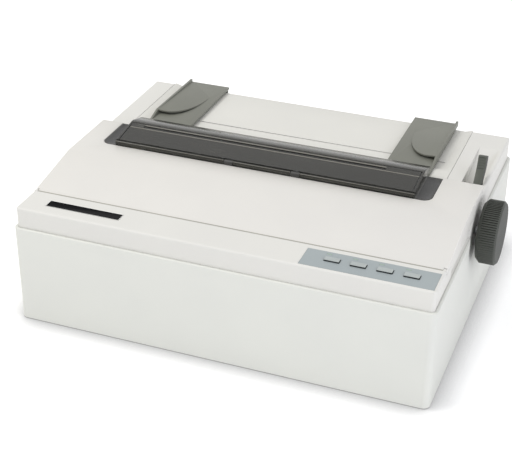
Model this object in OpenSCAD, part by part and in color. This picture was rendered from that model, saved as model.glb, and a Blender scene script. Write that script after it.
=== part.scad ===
// Desktop dot matrix printer with a hinged front cover, a smoked hood over the print
// area, a tilting rear paper table with two sliding sheet guides, and a platen knob.
// X runs to the right, Y to the back, Z up. All sizes are in millimetres.

/* [Case] */
// Width of the lower case
case_w = 415; // [370:1:500]
// Depth of the lower case
case_d = 327; // [300:1:395]
// Height of the lower case's rim above the desk
lower_h = 102.3; // [96:0.1:123]
// Thickness of the moulded case walls
wall = 3; // [2.4:0.1:3.6]
// Radius of the vertical corners
corner_r = 7; // [5:0.5:9]
// Width of the step between lower and upper case
ledge = 3.2; // [3.2:0.1:4]
// Radius of the top edges
edge_r = 2; // [1:0.1:2.4]
// How far the rubber feet stand out below the case
foot_h = 1.2; // [1:0.1:3]

/* [Top] */
// Height of the front shoulder above the rim
shoulder_rise = 21; // [19:0.5:25]
// Distance from the front face to the front cover's seam
shoulder_d = 40; // [37:1:46]
// Rise of the front cover from its seam to its flat part
cover_rise = 11.5; // [9.5:0.1:13.8]
// Length of the front cover's sloping part
cover_run = 71.5; // [60:0.5:85]
// Length of the front cover from seam to rear edge
cover_d = 149; // [147:1:152]
// Thickness of the cover's top skin
skin = 2.4; // [2:0.1:3]
// Drop from the cover's rear edge to the rear deck
deck_drop = 9; // [8:0.1:10]
// Depth of the cover's side skirts below the shoulder's top
skirt_drop = 5.8; // [5:0.1:6.5]

/* [Hood] */
// Offset of the paper path from the middle of the case
path_x = -8.2; // [-10:0.1:-6]
// Width of the notch in the front cover
notch_w = 346; // [338:1:350]
// Depth of the notch in the front cover
notch_d = 51; // [50:0.5:53]
// Width of the raised hood
hood_w = 313.4; // [290:1:318]
// Height of the hood's crest above the cover
hood_rise = 10.3; // [8.6:0.1:12.4]
// How far the hood reaches behind the cover's rear edge
hood_over = 12; // [10:0.5:14]
// Thickness of the hood's sheet
hood_t = 2; // [1.6:0.1:2.4]

/* [Platen] */
// Distance of the platen's axis behind the front face
platen_y = 178; // [176:0.5:180]
// Height of the platen's axis above the desk
platen_z = 92; // [90:0.5:94]
// Radius of the platen's rubber
platen_r = 16; // [13.3:0.1:16.6]
// Length of the platen's rubber
platen_len = 270; // [225:1:272]
// Radius of the platen's shaft
shaft_r = 4; // [3.3:0.1:4.8]
// Radius of the platen knob
knob_r = 31.6; // [28:0.1:35]
// Width of the platen knob
knob_w = 20; // [16:0.1:22]
// Number of grips round the knob
knob_grips = 84; // [48:4:96]

/* [Paper table] */
// Depth of the recess in the table's top
table_recess = 2.2; // [1.8:0.1:2.6]
// Width of a sheet guide
guide_w = 47.5; // [40:0.5:50]
// Clear width between the sheet guides
guide_gap = 217; // [190:1:220]
// Height of a sheet guide's outer wall
guide_h = 7.2; // [6:0.1:8.6]
// Thickness of a sheet guide's plates
guide_t = 2.2; // [1.8:0.1:2.6]

/* [Front panel] */
// Width of the control panel plate
panel_w = 123; // [108:1:130]
// Depth of the control panel plate
panel_d = 28.6; // [27:0.1:30]
// Width of one button
button_w = 14; // [11.7:0.1:16.8]
// Depth of one button
button_d = 6.6; // [5.5:0.1:8]
// Distance from one button to the next
button_pitch = 24.3; // [22:0.1:26]
// Width of the badge plate
badge_w = 77.5; // [60:0.5:93]
// Depth of the badge plate
badge_d = 11.8; // [9.8:0.1:14]

/* [Carriage] */
// Travel of the carriage
carriage_run = 206; // [180:1:210]
// Radius of the carriage shaft
guide_rod_r = 6; // [5:0.1:7]
// Radius of the belt pulleys
pulley_r = 8; // [7:0.1:9]

/* [Fits] */
// Gap between mouldings that close or slide on each other
gap = 0.3; // [0.25:0.01:0.4]
// Radial clearance of a pin or shaft in its hole
run_fit = 0.05; // [0.03:0.01:0.08]
// Thickness of the steel side frames
steel_t = 1.5; // [1.2:0.1:2]
// Module of the feed gears
gear_m = 1; // [0.9:0.01:1.1]

/* [Hidden] */
$fn = 64;
over = 1;                                   // how far a cutter runs past what it cuts
link_waist = 0.97;                          // width of a link between its round ends, as a share of theirs

// case and cover levels
half_w = case_w/2;
floor_z = foot_h + wall;
lip_z = lower_h - 8;                        // lower edge of the upper case, inside the rim
upper_x = half_w - ledge;
upper_y0 = ledge;
upper_y1 = case_d - ledge;
inner_x = upper_x - wall;
shoulder_z = lower_h + shoulder_rise;
skirt_z = shoulder_z - skirt_drop;
cover_y1 = shoulder_d + cover_d;
break_y = shoulder_d + cover_run;
cover_z = shoulder_z + cover_rise;
deck_z = cover_z - deck_drop;
deck_y = cover_y1 - 5;                      // front edge of the deck, under the cover's rear edge
slope = atan2(cover_rise, cover_run);
bead_r = 2.4;                               // rounded front edge of the cover, round its pin
cover_axis = [shoulder_d + bead_r + gap/2, shoulder_z - bead_r];
cover_pin_r = 1.2;
ear_w = 3;                                  // knuckles at the cover's two front corners
ear_x = upper_x - ear_w/2;
cover_pin_in = 0.9;                         // how far a cover pin's end lies inside the case's side
cover_pin_len = 12;
boss_r = 5;
boss_y = 16;                                // screw bosses, from the front and rear faces
boss_in = 8;                                // screw bosses, from the side walls

// notch and hood
notch_x0 = path_x - notch_w/2;
notch_x1 = path_x + notch_w/2;
notch_y = cover_y1 - notch_d;
notch_r = 9;
rim_h = 9;
hood_x0 = path_x - hood_w/2;
hood_x1 = path_x + hood_w/2;
lip_r = 2.3;                                // rounded front lip of the hood, round its pin
hood_axis = [notch_y + lip_r + 0.7, cover_z + lip_r - 0.1];
hood_pin_r = 1;
knuckle_w = 9;
clip_gap = 0.1;                             // hood hinge clips, off the notch's edge
clip_t = 1.6;
clip_drop = 7;
knuckle_x = [path_x - 33, path_x + 37];
crest_y = cover_y1 - 10;
crest_z = cover_z + hood_rise;
hood_y1 = cover_y1 + hood_over;
hood_back_z = crest_z - 6;
wing_z = cover_z - 0.2;

// rear table
table_x0 = notch_x0 + 0.3;
table_x1 = notch_x1 - 0.3;
table_y = cover_y1 + 16;                    // front edge behind the platen
table_y1 = case_d - 1.5;
table_bevel = 8;
table_axis = [table_y + 7, deck_z - 8];
table_pin_r = 2;
table_tab = 10.5;                           // width of the table's two front tabs
bevel_y = table_y + 17;
slot_y = table_y + 40.5;                      // slot that the sheet guides run in
table_skirt = 8;
guide_z = deck_z + gap;
guide_y0 = table_y - 11;
guide_y1 = case_d + 4;
flap_y0 = table_y + 32.5;                   // front edge of a guide's raised flap
flap_y1 = table_y + 92;                     // inner end of the flap's fold line
flap_w = guide_w - 9.5;
flap_side = 10;                             // width of the flap's straight front edge
flap_t = 1.7;
guide_rib = 5;                              // width of the strip beside the flap at its rear
guide_foot = table_y + 15.5;                // front end of a guide's outer wall

// lever
lever_w = 8.2;
lever_x = inner_x - lever_w - 1.9;
lever_axis = [platen_y + 19, platen_z - 8];
lever_shaft_r = 3;
lever_tip = cover_z + 15.8 - lever_axis[1];      // length from its axis
lever_slot = [-5.5, 33];                    // front and rear ends of its slot, from its axis
slot_side = 8.4;                            // width of the slot beside the lever
scoop_x = lever_x - 11.7;
scoop_d = 20;

// mechanism
frame_x0 = path_x - 149.5;                  // outer face of the left side frame
frame_x1 = path_x + 151.5;                  // outer face of the right side frame
frame_y0 = 72;
frame_y1 = table_y + 58;
frame_z0 = foot_h + wall + 4;
frame_z1 = platen_z + 18;
chassis_t = 1.6;
bush_r = shaft_r + 3;
gear_x = frame_x0 - 8.5;
gear_w = 6;
teeth_platen = 40;
teeth_idler = 26;
teeth_pinion = 14;
teeth_link = 30;
teeth_tractor = 32;
platen_axis = [platen_y, platen_z];
feed_dir = -101;                            // direction from the platen to the feed motor
tractor_dir = 8;                            // direction from the platen to the tractor shaft
idler_axis = step_to(platen_axis, feed_dir, (teeth_platen + teeth_idler)*gear_m/2);
pinion_axis = step_to(idler_axis, feed_dir, (teeth_idler + teeth_pinion)*gear_m/2);
link_axis = step_to(platen_axis, tractor_dir, (teeth_platen + teeth_link)*gear_m/2);
tractor_axis = step_to(link_axis, tractor_dir, (teeth_link + teeth_tractor)*gear_m/2);
idler_turn = mesh_turn(feed_dir, teeth_platen, 0, teeth_idler);
pinion_turn = mesh_turn(feed_dir, teeth_idler, idler_turn, teeth_pinion);
link_turn = mesh_turn(tractor_dir, teeth_platen, 0, teeth_link);
tractor_turn = mesh_turn(tractor_dir, teeth_link, link_turn, teeth_tractor);
tractor_bar = 7;                            // side of the square tractor shaft
tractor_journal_r = tractor_bar/2 - 0.3;    // its ends are turned down to run in the frames
tractor_w = 22;
tractor_x = [path_x - 118, path_x + 96];
sprocket_r = 8;
sprocket_pin = 3.4;                         // height of the pins that pull the paper
tractor_rod_r = 2.5;
tractor_rod = tractor_axis + [15, -3];      // rod that keeps the tractors upright
stud_r = 2.5;
motor_side = 42;

// pinch rollers and bail
pinch_r = 5;
pinch_angle = -75;
pinch_axis = [platen_y + 28, platen_z - 30];
pinch_at = step_to(platen_axis, pinch_angle, platen_r + pinch_r + gap);
bail_r = 2.5;
bail_roller_r = 6;
bail_at = step_to(platen_axis, 130, platen_r + bail_roller_r + gap);
bail_axis = [platen_y + 18, platen_z + 8];
roller_x = [path_x - 92, path_x, path_x + 92];
roller_w = 14;
pan_r = platen_r + 1.6;
pan_t = 1;

// carriage
rod_axis = [platen_y - 50, platen_z - 26];
head_x = path_x - carriage_run/2;
rail_z = platen_z - 24;
belt_y = platen_y - 78;
belt_z = platen_z - 32;
belt_h = 6;
belt_t = 1.2;
motor_x = head_x - 21;
post_x = head_x + carriage_run + 23;
cartridge_z = platen_z + 7;
cartridge_h = 12;
clamp_at = 8;                               // middle of the belt clamp, from the print head's middle
clamp_w = 10;

// knob
knob_x = half_w + 0.8;
knob_x1 = knob_x + knob_w;
knob_back = 3.8;                            // chamfer of the knob's edge towards the case
knob_front = 2;                             // chamfer of its outer edge
knob_web = 4;                               // thickness of its outer face
knob_rim = 6;                               // thickness of its rim round the sunk back
dish_x = upper_x - 1.2;                     // floor of the shallow dish behind the knob
dish_r = 29;                                // radius of its flat floor
dish_slope = 5;                             // growth of its radius per millimetre towards the outside
pad_t = 1.8;                                // thickness of the wall at its floor
shaft_hole_r = shaft_r + 0.7;

// front panel
panel_x1 = upper_x - 2.3;
panel_x0 = panel_x1 - panel_w;
panel_y0 = upper_y0 + 2.3;
panel_t = 1.4;
button_x = panel_x0 + 19.8;
button_y = panel_y0 + 12.2;
button_h = 1.2;
lamp_y = panel_y0 + 24.6;
badge_x = -upper_x + 24.8;
badge_y = upper_y0 + 13.2;
badge_t = 1.2;

// rear connectors
inlet_x = -half_w + 42;
inlet_z = floor_z + 24;
inlet_w = 28;
inlet_h = 20;
switch_x = inlet_x + 42;
switch_w = 12.6;
switch_h = 19;
rocker_axis = [case_d - wall - 1.5, inlet_z];
rocker_tip = 7;                             // tilt of the rocker to either side
port_x = 60;
port_w = 66;
port_h = 13;
port_z = floor_z + 26;

board_t = 1.6;
board_post_h = 6;
board_post_r = 3.4;
chassis_post_x = [-140, 0, 130];            // posts under the chassis plate, from the paper path's middle
chassis_slot_x = [-100, -40, 60, 110];      // slots in it
rib_x = [-140, -60, 60, 140];               // ribs under the front cover

// power supply
supply_x = -half_w + wall + 20;
supply_w = 114;
supply_h = 52;

// The part's own frame: middle of the whole width and depth, on the desk
frame_dx = (knob_x1 - half_w)/2;
frame_dy = guide_y1/2;

function step_to(p, a, d) = [p[0] + d*cos(a), p[1] + d*sin(a)];
// Turn of the second gear that puts a tooth gap where the first gear has a tooth
function mesh_turn(dir, n1, turn1, n2) = dir + 180 - (0.5 - (dir - turn1)*n1/360)*360/n2;
function involute(r, t) = [r*(cos(t) + t*PI/180*sin(t)), r*(sin(t) - t*PI/180*cos(t))];
function turned(p, a) = [p[0]*cos(a) - p[1]*sin(a), p[0]*sin(a) + p[1]*cos(a)];

// Moves a module drawn from the case's front and middle to the part's own frame
module in_frame() translate([-frame_dx, -frame_dy, 0]) children();

// A box between two corners
module block(x0, x1, y0, y1, z0, z1) translate([x0, y0, z0]) cube([x1 - x0, y1 - y0, z1 - z0]);

// Extrudes a side view, drawn as Y and Z, from x0 over a length
module along_x(x0, len) translate([x0, 0, 0]) rotate([90, 0, 90]) linear_extrude(len) children();

// Extrudes a front view, drawn as X and Z, from y0 over a length
module along_y(y0, len) translate([0, y0 + len, 0]) rotate([90, 0, 0]) linear_extrude(len) children();

module rod_x(x0, len, at, r) along_x(x0, len) translate(at) circle(r);

// A rectangle with round corners
module round_rect(x0, x1, y0, y1, r) {
    translate([x0 + r, y0]) square([x1 - x0 - 2*r, y1 - y0]);
    translate([x0, y0 + r]) square([x1 - x0, y1 - y0 - 2*r]);
    for (x = [x0 + r, x1 - r], y = [y0 + r, y1 - r]) translate([x, y]) circle(r);
}

// A flat bar with round ends between two points
module link(p, q, w) {
    translate(p) circle(w/2);
    translate(q) circle(w/2);
    side = w*link_waist;
    translate(p) rotate(atan2(q[1] - p[1], q[0] - p[0]))
        translate([0, -side/2]) square([norm(q - p), side]);
}

// Cutter that rounds a right corner, which points to +X and +Y
module corner_cut(r) difference() {
    square(r + over);
    circle(r);
}

// A spur gear with involute flanks and stub teeth, drawn about its centre
module gear_outline(n) {
    pitch_r = n*gear_m/2;
    base_r = pitch_r*cos(20);
    tip_r = pitch_r + 0.8*gear_m;
    root_r = pitch_r - gear_m;
    tip_t = sqrt(pow(tip_r/base_r, 2) - 1)*180/PI;
    pitch_t = sqrt(pow(pitch_r/base_r, 2) - 1)*180/PI;
    half = 90/n - 0.08*180/PI/pitch_r + pitch_t - atan(pitch_t*PI/180);
    flank = [for (i = [0:3]) turned(involute(base_r, tip_t*i/3), -half)];
    tooth = concat([turned([root_r, 0], -half)], flank,
        [for (i = [3:-1:0]) [flank[i][0], -flank[i][1]]], [turned([root_r, 0], half)]);
    polygon([for (k = [0:n - 1], p = tooth) turned(p, k*360/n)]);
}

module gear(at, n, turn, x0, w, bore_r, hub_r) difference() {
    union() {
        along_x(x0, w) translate(at) rotate(turn) gear_outline(n);
        rod_x(x0 - 1, w + 2, at, hub_r);
    }
    rod_x(x0 - 2, w + 4, at, bore_r);
}

// The dish behind the knob: a flat floor at x0, growing wider up to x1
module knob_dish(x0, x1) translate([x0, platen_y, platen_z]) rotate([0, 90, 0])
    cylinder(r1 = dish_r, r2 = dish_r + (x1 - x0)*dish_slope, h = x1 - x0);

module shaft_hole() rod_x(dish_x - pad_t - over, half_w - dish_x + pad_t + 2*over, platen_axis, shaft_hole_r);

// ---- case ----

module case_boss_places() for (x = [-1, 1], y = [upper_y0 + boss_y, upper_y1 - boss_y])
    translate([x*(inner_x - boss_in), y, 0]) children();

module foot_places() for (x = [-1, 1], y = [30, case_d - 30]) translate([x*(half_w - 32), y, 0]) children();

module lower_shell() difference() {
    translate([0, 0, foot_h]) linear_extrude(lower_h - foot_h)
        round_rect(-half_w, half_w, 0, case_d, corner_r);
    translate([0, 0, floor_z]) linear_extrude(lower_h)
        round_rect(-half_w + wall, half_w - wall, wall, case_d - wall, corner_r - wall);
}

module lower_case() in_frame() color("#E4E4E0") difference() {
    union() {
        lower_shell();
        case_boss_places() translate([0, 0, foot_h]) cylinder(r = boss_r, h = lip_z - gap - foot_h);
        intersection() {
            knob_dish(dish_x - pad_t, half_w - wall + over/2);
            block(dish_x - pad_t, half_w, 0, case_d, floor_z, lip_z - gap);
        }
    }
    case_boss_places() {
        translate([0, 0, foot_h - over]) cylinder(r = 1.6 + run_fit, h = lip_z);
        translate([0, 0, foot_h - over]) cylinder(r = 3.4, h = over + 3);
    }
    foot_places() translate([0, 0, foot_h - over]) cylinder(r = 9.2, h = over + 1);
    knob_dish(dish_x, half_w + over);
    shaft_hole();
    block(dish_x - pad_t - over, half_w + over, platen_y - shaft_hole_r, platen_y + shaft_hole_r,
        platen_z, lower_h + over);
    // rear openings
    block(inlet_x - inlet_w/2, inlet_x + inlet_w/2, case_d - wall - over, case_d + over,
        inlet_z - inlet_h/2, inlet_z + inlet_h/2);
    block(switch_x - switch_w/2 - gap, switch_x + switch_w/2 + gap, case_d - wall - over, case_d + over,
        inlet_z - switch_h/2 - gap, inlet_z + switch_h/2 + gap);
    block(port_x - port_w/2, port_x + port_w/2, case_d - wall - over, case_d + over,
        port_z - port_h/2, port_z + port_h/2);
    // air slots in the floor and the back
    for (i = [-6:6]) block(path_x - 2 + i*9, path_x + 2 + i*9, 250, case_d - 45, foot_h - over, floor_z + over);
    for (i = [0:9]) block(-60 + i*8, -56.5 + i*8, case_d - wall - over, case_d + over, floor_z + 14, floor_z + 54);
    // rounded outer rim
    for (s = [0, 1]) mirror([s, 0, 0]) along_y(-over, case_d + 2*over)
        translate([half_w - edge_r/2, lower_h - edge_r/2]) corner_cut(edge_r/2);
    along_x(-half_w - over, case_w + 2*over) translate([edge_r/2, lower_h - edge_r/2])
        mirror([1, 0]) corner_cut(edge_r/2);
}

module upper_outline() polygon([
    [upper_y0, lip_z], [upper_y0, shoulder_z], [shoulder_d - gap/2, shoulder_z],
    [shoulder_d - gap/2, skirt_z - gap], [shoulder_d + 22, skirt_z - gap],
    [shoulder_d + 24, skirt_z - 3 - gap], [notch_y - 1, skirt_z - 3 - gap],
    [notch_y + 1, skirt_z - gap], [deck_y, skirt_z - gap],
    [deck_y, deck_z], [upper_y1, deck_z], [upper_y1, lip_z]]);

module upper_hollow() polygon([
    [upper_y0 + wall, lip_z - over], [upper_y0 + wall, shoulder_z - wall],
    [shoulder_d - gap/2 - wall, shoulder_z - wall], [shoulder_d - gap/2 - wall, skirt_z - 8],
    [shoulder_d - gap/2, skirt_z - 8], [shoulder_d - gap/2, deck_z + over], [deck_y, deck_z + over],
    [deck_y, skirt_z - 6], [deck_y + wall, skirt_z - 6], [deck_y + wall, deck_z - wall],
    [upper_y1 - wall, deck_z - wall], [upper_y1 - wall, lip_z - over]]);

// Side view of the wedge-shaped recess in front of the lever, grown by a wall
module scoop_side(grow) polygon([
    [cover_y1 + 2.5 - grow, deck_z + over], [cover_y1 + 2.5 - grow, deck_z - scoop_d - grow],
    [cover_y1 + 100 + grow, deck_z - grow], [cover_y1 + 100 + grow, deck_z + over]]);

module upper_case() in_frame() color("#E6E5E0") difference() {
    union() {
        difference() {
            intersection() {
                along_x(-upper_x, 2*upper_x) upper_outline();
                linear_extrude(deck_z + over)
                    round_rect(-upper_x, upper_x, upper_y0, upper_y1, corner_r - ledge);
            }
            along_x(-inner_x, 2*inner_x) upper_hollow();
            block(notch_x0 - gap/2, notch_x1 + gap/2, deck_y - over, upper_y1 + over,
                deck_z - table_skirt - gap, deck_z + over);
            block(notch_x0 - gap/2, notch_x1 + gap/2, deck_y - over, deck_y + wall + over,
                lip_z, deck_z);
        }
        // inner cheeks that carry the table's pins
        for (x = [notch_x0 - gap/2 - wall, notch_x1 + gap/2])
            block(x, x + wall, deck_y, upper_y1 - wall, deck_z - 16, deck_z - over);
        // knuckles for the front cover
        for (x = [-ear_x, ear_x]) along_x(x - ear_w/2, ear_w) {
            translate(cover_axis) circle(bead_r);
            translate([shoulder_d - wall, skirt_z]) square([cover_axis[0] - shoulder_d + wall, skirt_drop]);
        }
        // pan under the lever
        intersection() {
            along_x(scoop_x - 2, upper_x - scoop_x) scoop_side(2);
            block(0, inner_x + over/2, deck_y, case_d, lip_z, deck_z);
        }
        intersection() {
            knob_dish(dish_x - pad_t, inner_x + over/2);
            block(dish_x - pad_t, upper_x, 0, case_d, lip_z, skirt_z - 3 - gap);
        }
        // screw bosses, up to the underside of the shoulder and of the deck
        for (x = [-1, 1] * (inner_x - boss_in)) {
            translate([x, upper_y0 + boss_y, lip_z]) cylinder(r = boss_r, h = shoulder_z - wall + over/2 - lip_z);
            translate([x, upper_y1 - boss_y, lip_z]) cylinder(r = boss_r, h = deck_z - wall + over/2 - lip_z);
        }
    }
    along_x(scoop_x, lever_x + lever_w + gap*2 - scoop_x) scoop_side(0);
    block(lever_x - slot_side, lever_x + lever_w + gap*2, lever_axis[0] + lever_slot[0],
        lever_axis[0] + lever_slot[1], lip_z, deck_z);
    knob_dish(dish_x, half_w);
    shaft_hole();
    for (s = [0, 1]) mirror([s, 0, 0]) rod_x(upper_x - cover_pin_in - cover_pin_len, cover_pin_len,
        cover_axis, cover_pin_r + run_fit);
    rod_x(notch_x0 - wall - over, wall + 2*over, table_axis, table_pin_r + run_fit);
    rod_x(notch_x1 - over, wall + 2*over, table_axis, table_pin_r + run_fit);
    case_boss_places() translate([0, 0, lip_z - over]) cylinder(r = 1.6 + run_fit, h = 14);
    block(panel_x0 - gap/2, panel_x1 + gap/2, panel_y0 - gap/2, panel_y0 + panel_d + gap/2,
        shoulder_z - panel_t, shoulder_z + over);
    block(badge_x - gap/2, badge_x + badge_w + gap/2, badge_y - gap/2, badge_y + badge_d + gap/2,
        shoulder_z - badge_t + 0.2, shoulder_z + over);
    button_places() block(-button_w/2 - gap, button_w/2 + gap, -button_d/2 - gap, button_d/2 + gap,
        shoulder_z - wall - over, shoulder_z);
    // finger scoops under the cover's skirt
    for (s = [-1, 1]) for (k = [0:1]) translate([s*(upper_x + 0.2), 0, 0])
        block(-1.4 + k*0.5, 1.4 - k*0.5, shoulder_d + 26 - k*3, notch_y - 3 + k*3, lower_h + 3 - k*1.5, skirt_z - 3);
    for (s = [0, 1]) mirror([s, 0, 0]) {
        along_y(-over, case_d + 2*over) translate([upper_x - edge_r, deck_z - edge_r]) corner_cut(edge_r);
        along_y(-over, shoulder_d + over) translate([upper_x - edge_r, shoulder_z - edge_r]) corner_cut(edge_r);
    }
    along_x(-half_w, case_w) translate([upper_y0 + edge_r, shoulder_z - edge_r])
        mirror([1, 0]) corner_cut(edge_r);
    for (x = [[-half_w, notch_x0 + half_w], [notch_x1, half_w - notch_x1]])
        along_x(x[0], x[1]) translate([upper_y1 - edge_r, deck_z - edge_r]) corner_cut(edge_r);
}

module rubber_feet() in_frame() color("#3A3A3A") foot_places() cylinder(r = 9, h = foot_h + 1);

module case_screws() in_frame() color("#9A9A9A") case_boss_places() {
    translate([0, 0, foot_h + 0.8]) cylinder(r = 3, h = 2.2);
    translate([0, 0, foot_h + 2]) cylinder(r = 1.6, h = lip_z + 10 - foot_h);
}

// ---- front panel ----

module badge_plate() in_frame() color("#1C1C1E")
    block(badge_x, badge_x + badge_w, badge_y, badge_y + badge_d, shoulder_z - badge_t + 0.2, shoulder_z + 0.2);

module button_place(i) translate([button_x + button_w/2 + i*button_pitch, button_y + button_d/2, 0]) children();

module button_places() for (i = [0:3]) button_place(i) children();

module lamp_places() for (i = [0:3])
    translate([button_x + i*button_pitch + 1.5, lamp_y, 0]) children();

module control_panel() in_frame() color("#AEB9BC") difference() {
    block(panel_x0, panel_x1, panel_y0, panel_y0 + panel_d, shoulder_z - panel_t, shoulder_z + 0.2);
    button_places() block(-button_w/2 - gap, button_w/2 + gap, -button_d/2 - gap, button_d/2 + gap,
        shoulder_z - wall, shoulder_z + over);
    lamp_places() block(-2.5, 2.5, -0.7, 0.7, shoulder_z - wall, shoulder_z + over);
}

module panel_lamps() in_frame() color("#7FA98C") lamp_places()
    block(-2.4, 2.4, -0.6, 0.6, shoulder_z - panel_t, shoulder_z + 0.3);

// A flat key on a stem that reaches down to its switch
module button(i) in_frame() color("#A9B4B8") button_place(i) difference() {
    union() {
        block(-button_w/2, button_w/2, -button_d/2, button_d/2, shoulder_z - 2.2, shoulder_z + 0.2 + button_h);
        block(-2, 2, -2, 2, shoulder_z - 7, shoulder_z - 2);
    }
    for (s = [0, 1]) mirror([s, 0, 0]) along_y(-button_d, 2*button_d)
        translate([button_w/2 - 0.4, shoulder_z + 0.2 + button_h - 0.4]) corner_cut(0.4);
}

module button_1() button(0);
module button_2() button(1);
module button_3() button(2);
module button_4() button(3);

// ---- front cover and hood ----

module cover_outline() {
    polygon([[cover_axis[0], shoulder_z], [break_y, cover_z], [cover_y1, cover_z],
        [cover_y1, deck_z + gap], [deck_y - gap, deck_z + gap], [deck_y - gap, skirt_z],
        [notch_y + 1 - gap, skirt_z], [notch_y - 1 - gap, skirt_z - 3],
        [shoulder_d + 24 + gap, skirt_z - 3], [shoulder_d + 22 + gap, skirt_z],
        [cover_axis[0], skirt_z]]);
    translate(cover_axis) circle(bead_r);
}

module cover_hollow() polygon([
    [cover_axis[0] + bead_r + 1, skirt_z - 4],
    [cover_axis[0] + bead_r + 1, shoulder_z - skin], [break_y, cover_z - skin],
    [cover_y1 - wall, cover_z - skin], [cover_y1 - wall, skirt_z - 4]]);

// Plan of the notch, grown to the sides and front by one size and to the back by another
module notch_plan(grow, back) intersection() {
    round_rect(notch_x0 - grow, notch_x1 + grow, notch_y - grow, cover_y1 + 2*notch_r, notch_r + grow);
    translate([-half_w, 0]) square([case_w, cover_y1 + back]);
}

module front_cover() in_frame() color("#E7E6E1") difference() {
    union() {
        difference() {
            along_x(-upper_x, 2*upper_x) cover_outline();
            along_x(-inner_x, 2*inner_x) cover_hollow();
            translate([0, 0, skirt_z - over]) linear_extrude(cover_z) notch_plan(0, over);
            // room for the case's knuckles, and the bores of the pins
            for (x = [-half_w, upper_x - ear_w - gap])
                block(x, x + half_w - upper_x + ear_w + gap, shoulder_d - over, cover_axis[0] + bead_r + gap,
                    skirt_z - over, cover_z);
            for (x = [-half_w, upper_x - cover_pin_in - cover_pin_len - gap])
                rod_x(x, half_w - upper_x + cover_pin_in + cover_pin_len + gap, cover_axis, cover_pin_r + run_fit);
        }
        // turned-down edge of the notch, with a ledge under each wing of the hood
        translate([0, 0, cover_z - rim_h]) linear_extrude(rim_h - over) difference() {
            notch_plan(wall, -over/2);
            notch_plan(0, over);
        }
        for (x = [notch_x0 - over, notch_x1 - 3])
            block(x, x + 3 + over, notch_y + notch_r, cover_y1 - over, wing_z - hood_t - 2.3, wing_z - hood_t - gap);
        for (x = rib_x) along_x(x, 1.6) polygon([
            [cover_axis[0] + bead_r, shoulder_z - skin - 3], [cover_axis[0] + bead_r, shoulder_z - 1],
            [break_y, cover_z - 1], [notch_y - over, cover_z - 1], [notch_y - over, cover_z - skin - 5],
            [break_y, cover_z - skin - 5]]);
    }
    knob_dish(dish_x, half_w);
    // rounded long edges
    for (s = [0, 1]) mirror([s, 0, 0]) {
        along_y(break_y - 4, cover_y1) translate([upper_x - edge_r, cover_z - edge_r]) corner_cut(edge_r);
        translate([0, cover_axis[0], shoulder_z]) rotate([slope, 0, 0])
            along_y(-5, cover_run + 8) translate([upper_x - edge_r, -edge_r]) corner_cut(edge_r);
    }
    along_x(-half_w, case_w) translate([cover_y1 - edge_r, cover_z - edge_r]) corner_cut(edge_r);
}

module cover_pins() in_frame() color("#B4B4B4") for (s = [0, 1]) mirror([s, 0, 0])
    rod_x(upper_x - cover_pin_in - cover_pin_len, cover_pin_len, cover_axis, cover_pin_r);

module hood_sheet(t) polygon([
    [hood_axis[0] - 2.2 + t, cover_z + 0.6], [hood_axis[0] - 2.2 + t, cover_z + 4.2 - t],
    [hood_axis[0] - 0.6 + t, cover_z + 5 - t],
    [crest_y - 1.5, crest_z - t - 0.3], [crest_y + 1.5, crest_z - t - 0.3],
    [hood_y1 - t*0.4, hood_back_z - t], [hood_y1 - t*0.4, hood_back_z - 3], [crest_y, cover_z + 0.6 - t*0.01]]);

module smoked_hood() in_frame() color([0.22, 0.21, 0.22, 0.75]) difference() {
    union() {
        difference() {
            along_x(hood_x0, hood_w) hood_sheet(0);
            along_x(hood_x0 + hood_t, hood_w - 2*hood_t) hood_sheet(hood_t);
            along_x(hood_x0 + hood_t, hood_w - 2*hood_t) polygon([
                [hood_axis[0] + lip_r - 0.4, wing_z - 3], [hood_axis[0] + lip_r - 0.4, cover_z + 3],
                [hood_y1 - hood_t*0.4, cover_z + 1.8], [hood_y1 + over, cover_z - 3]]);
        }
        for (x = [hood_x0, hood_x1 - hood_t])
            block(x, x + hood_t, notch_y + 1, cover_y1 - 0.8, wing_z - hood_t, cover_z + 1.5);
        // flat wings at both ends
        translate([0, 0, wing_z - hood_t]) linear_extrude(hood_t) difference() {
            intersection() {
                round_rect(notch_x0 + gap, notch_x1 - gap, notch_y + 1, cover_y1 + 2*notch_r, notch_r);
                translate([-half_w, 0]) square([case_w, cover_y1 - 0.8]);
            }
            translate([hood_x0 + over, 0]) square([hood_w - 2*over, case_d]);
        }
        rod_x(hood_x0, hood_w, hood_axis, lip_r);
    }
    for (x = knuckle_x) {
        block(x - knuckle_w/2 - gap, x + knuckle_w/2 + gap, notch_y - over, hood_axis[0] + lip_r + 0.7,
            cover_z - 4, hood_axis[1] + lip_r + 0.7);
        rod_x(x - knuckle_w, 2*knuckle_w, hood_axis, hood_pin_r + run_fit);
    }
}

// Hinge clips on the notch's front edge, each with a knuckle and a pin on both sides of it
module hood_pins() in_frame() color("#2E2E30") for (x = knuckle_x) {
    rod_x(x - knuckle_w + 0.5, 2*knuckle_w - 1, hood_axis, hood_pin_r);
    along_x(x - knuckle_w/2, knuckle_w) {
        translate(hood_axis) circle(lip_r);
        translate([notch_y + clip_gap, cover_z - clip_drop]) square([clip_t, clip_drop + hood_axis[1] - cover_z]);
        translate([hood_axis[0] - lip_r, hood_axis[1] - lip_r]) square([lip_r, lip_r]);
    }
}

// ---- rear table and sheet guides ----

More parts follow.
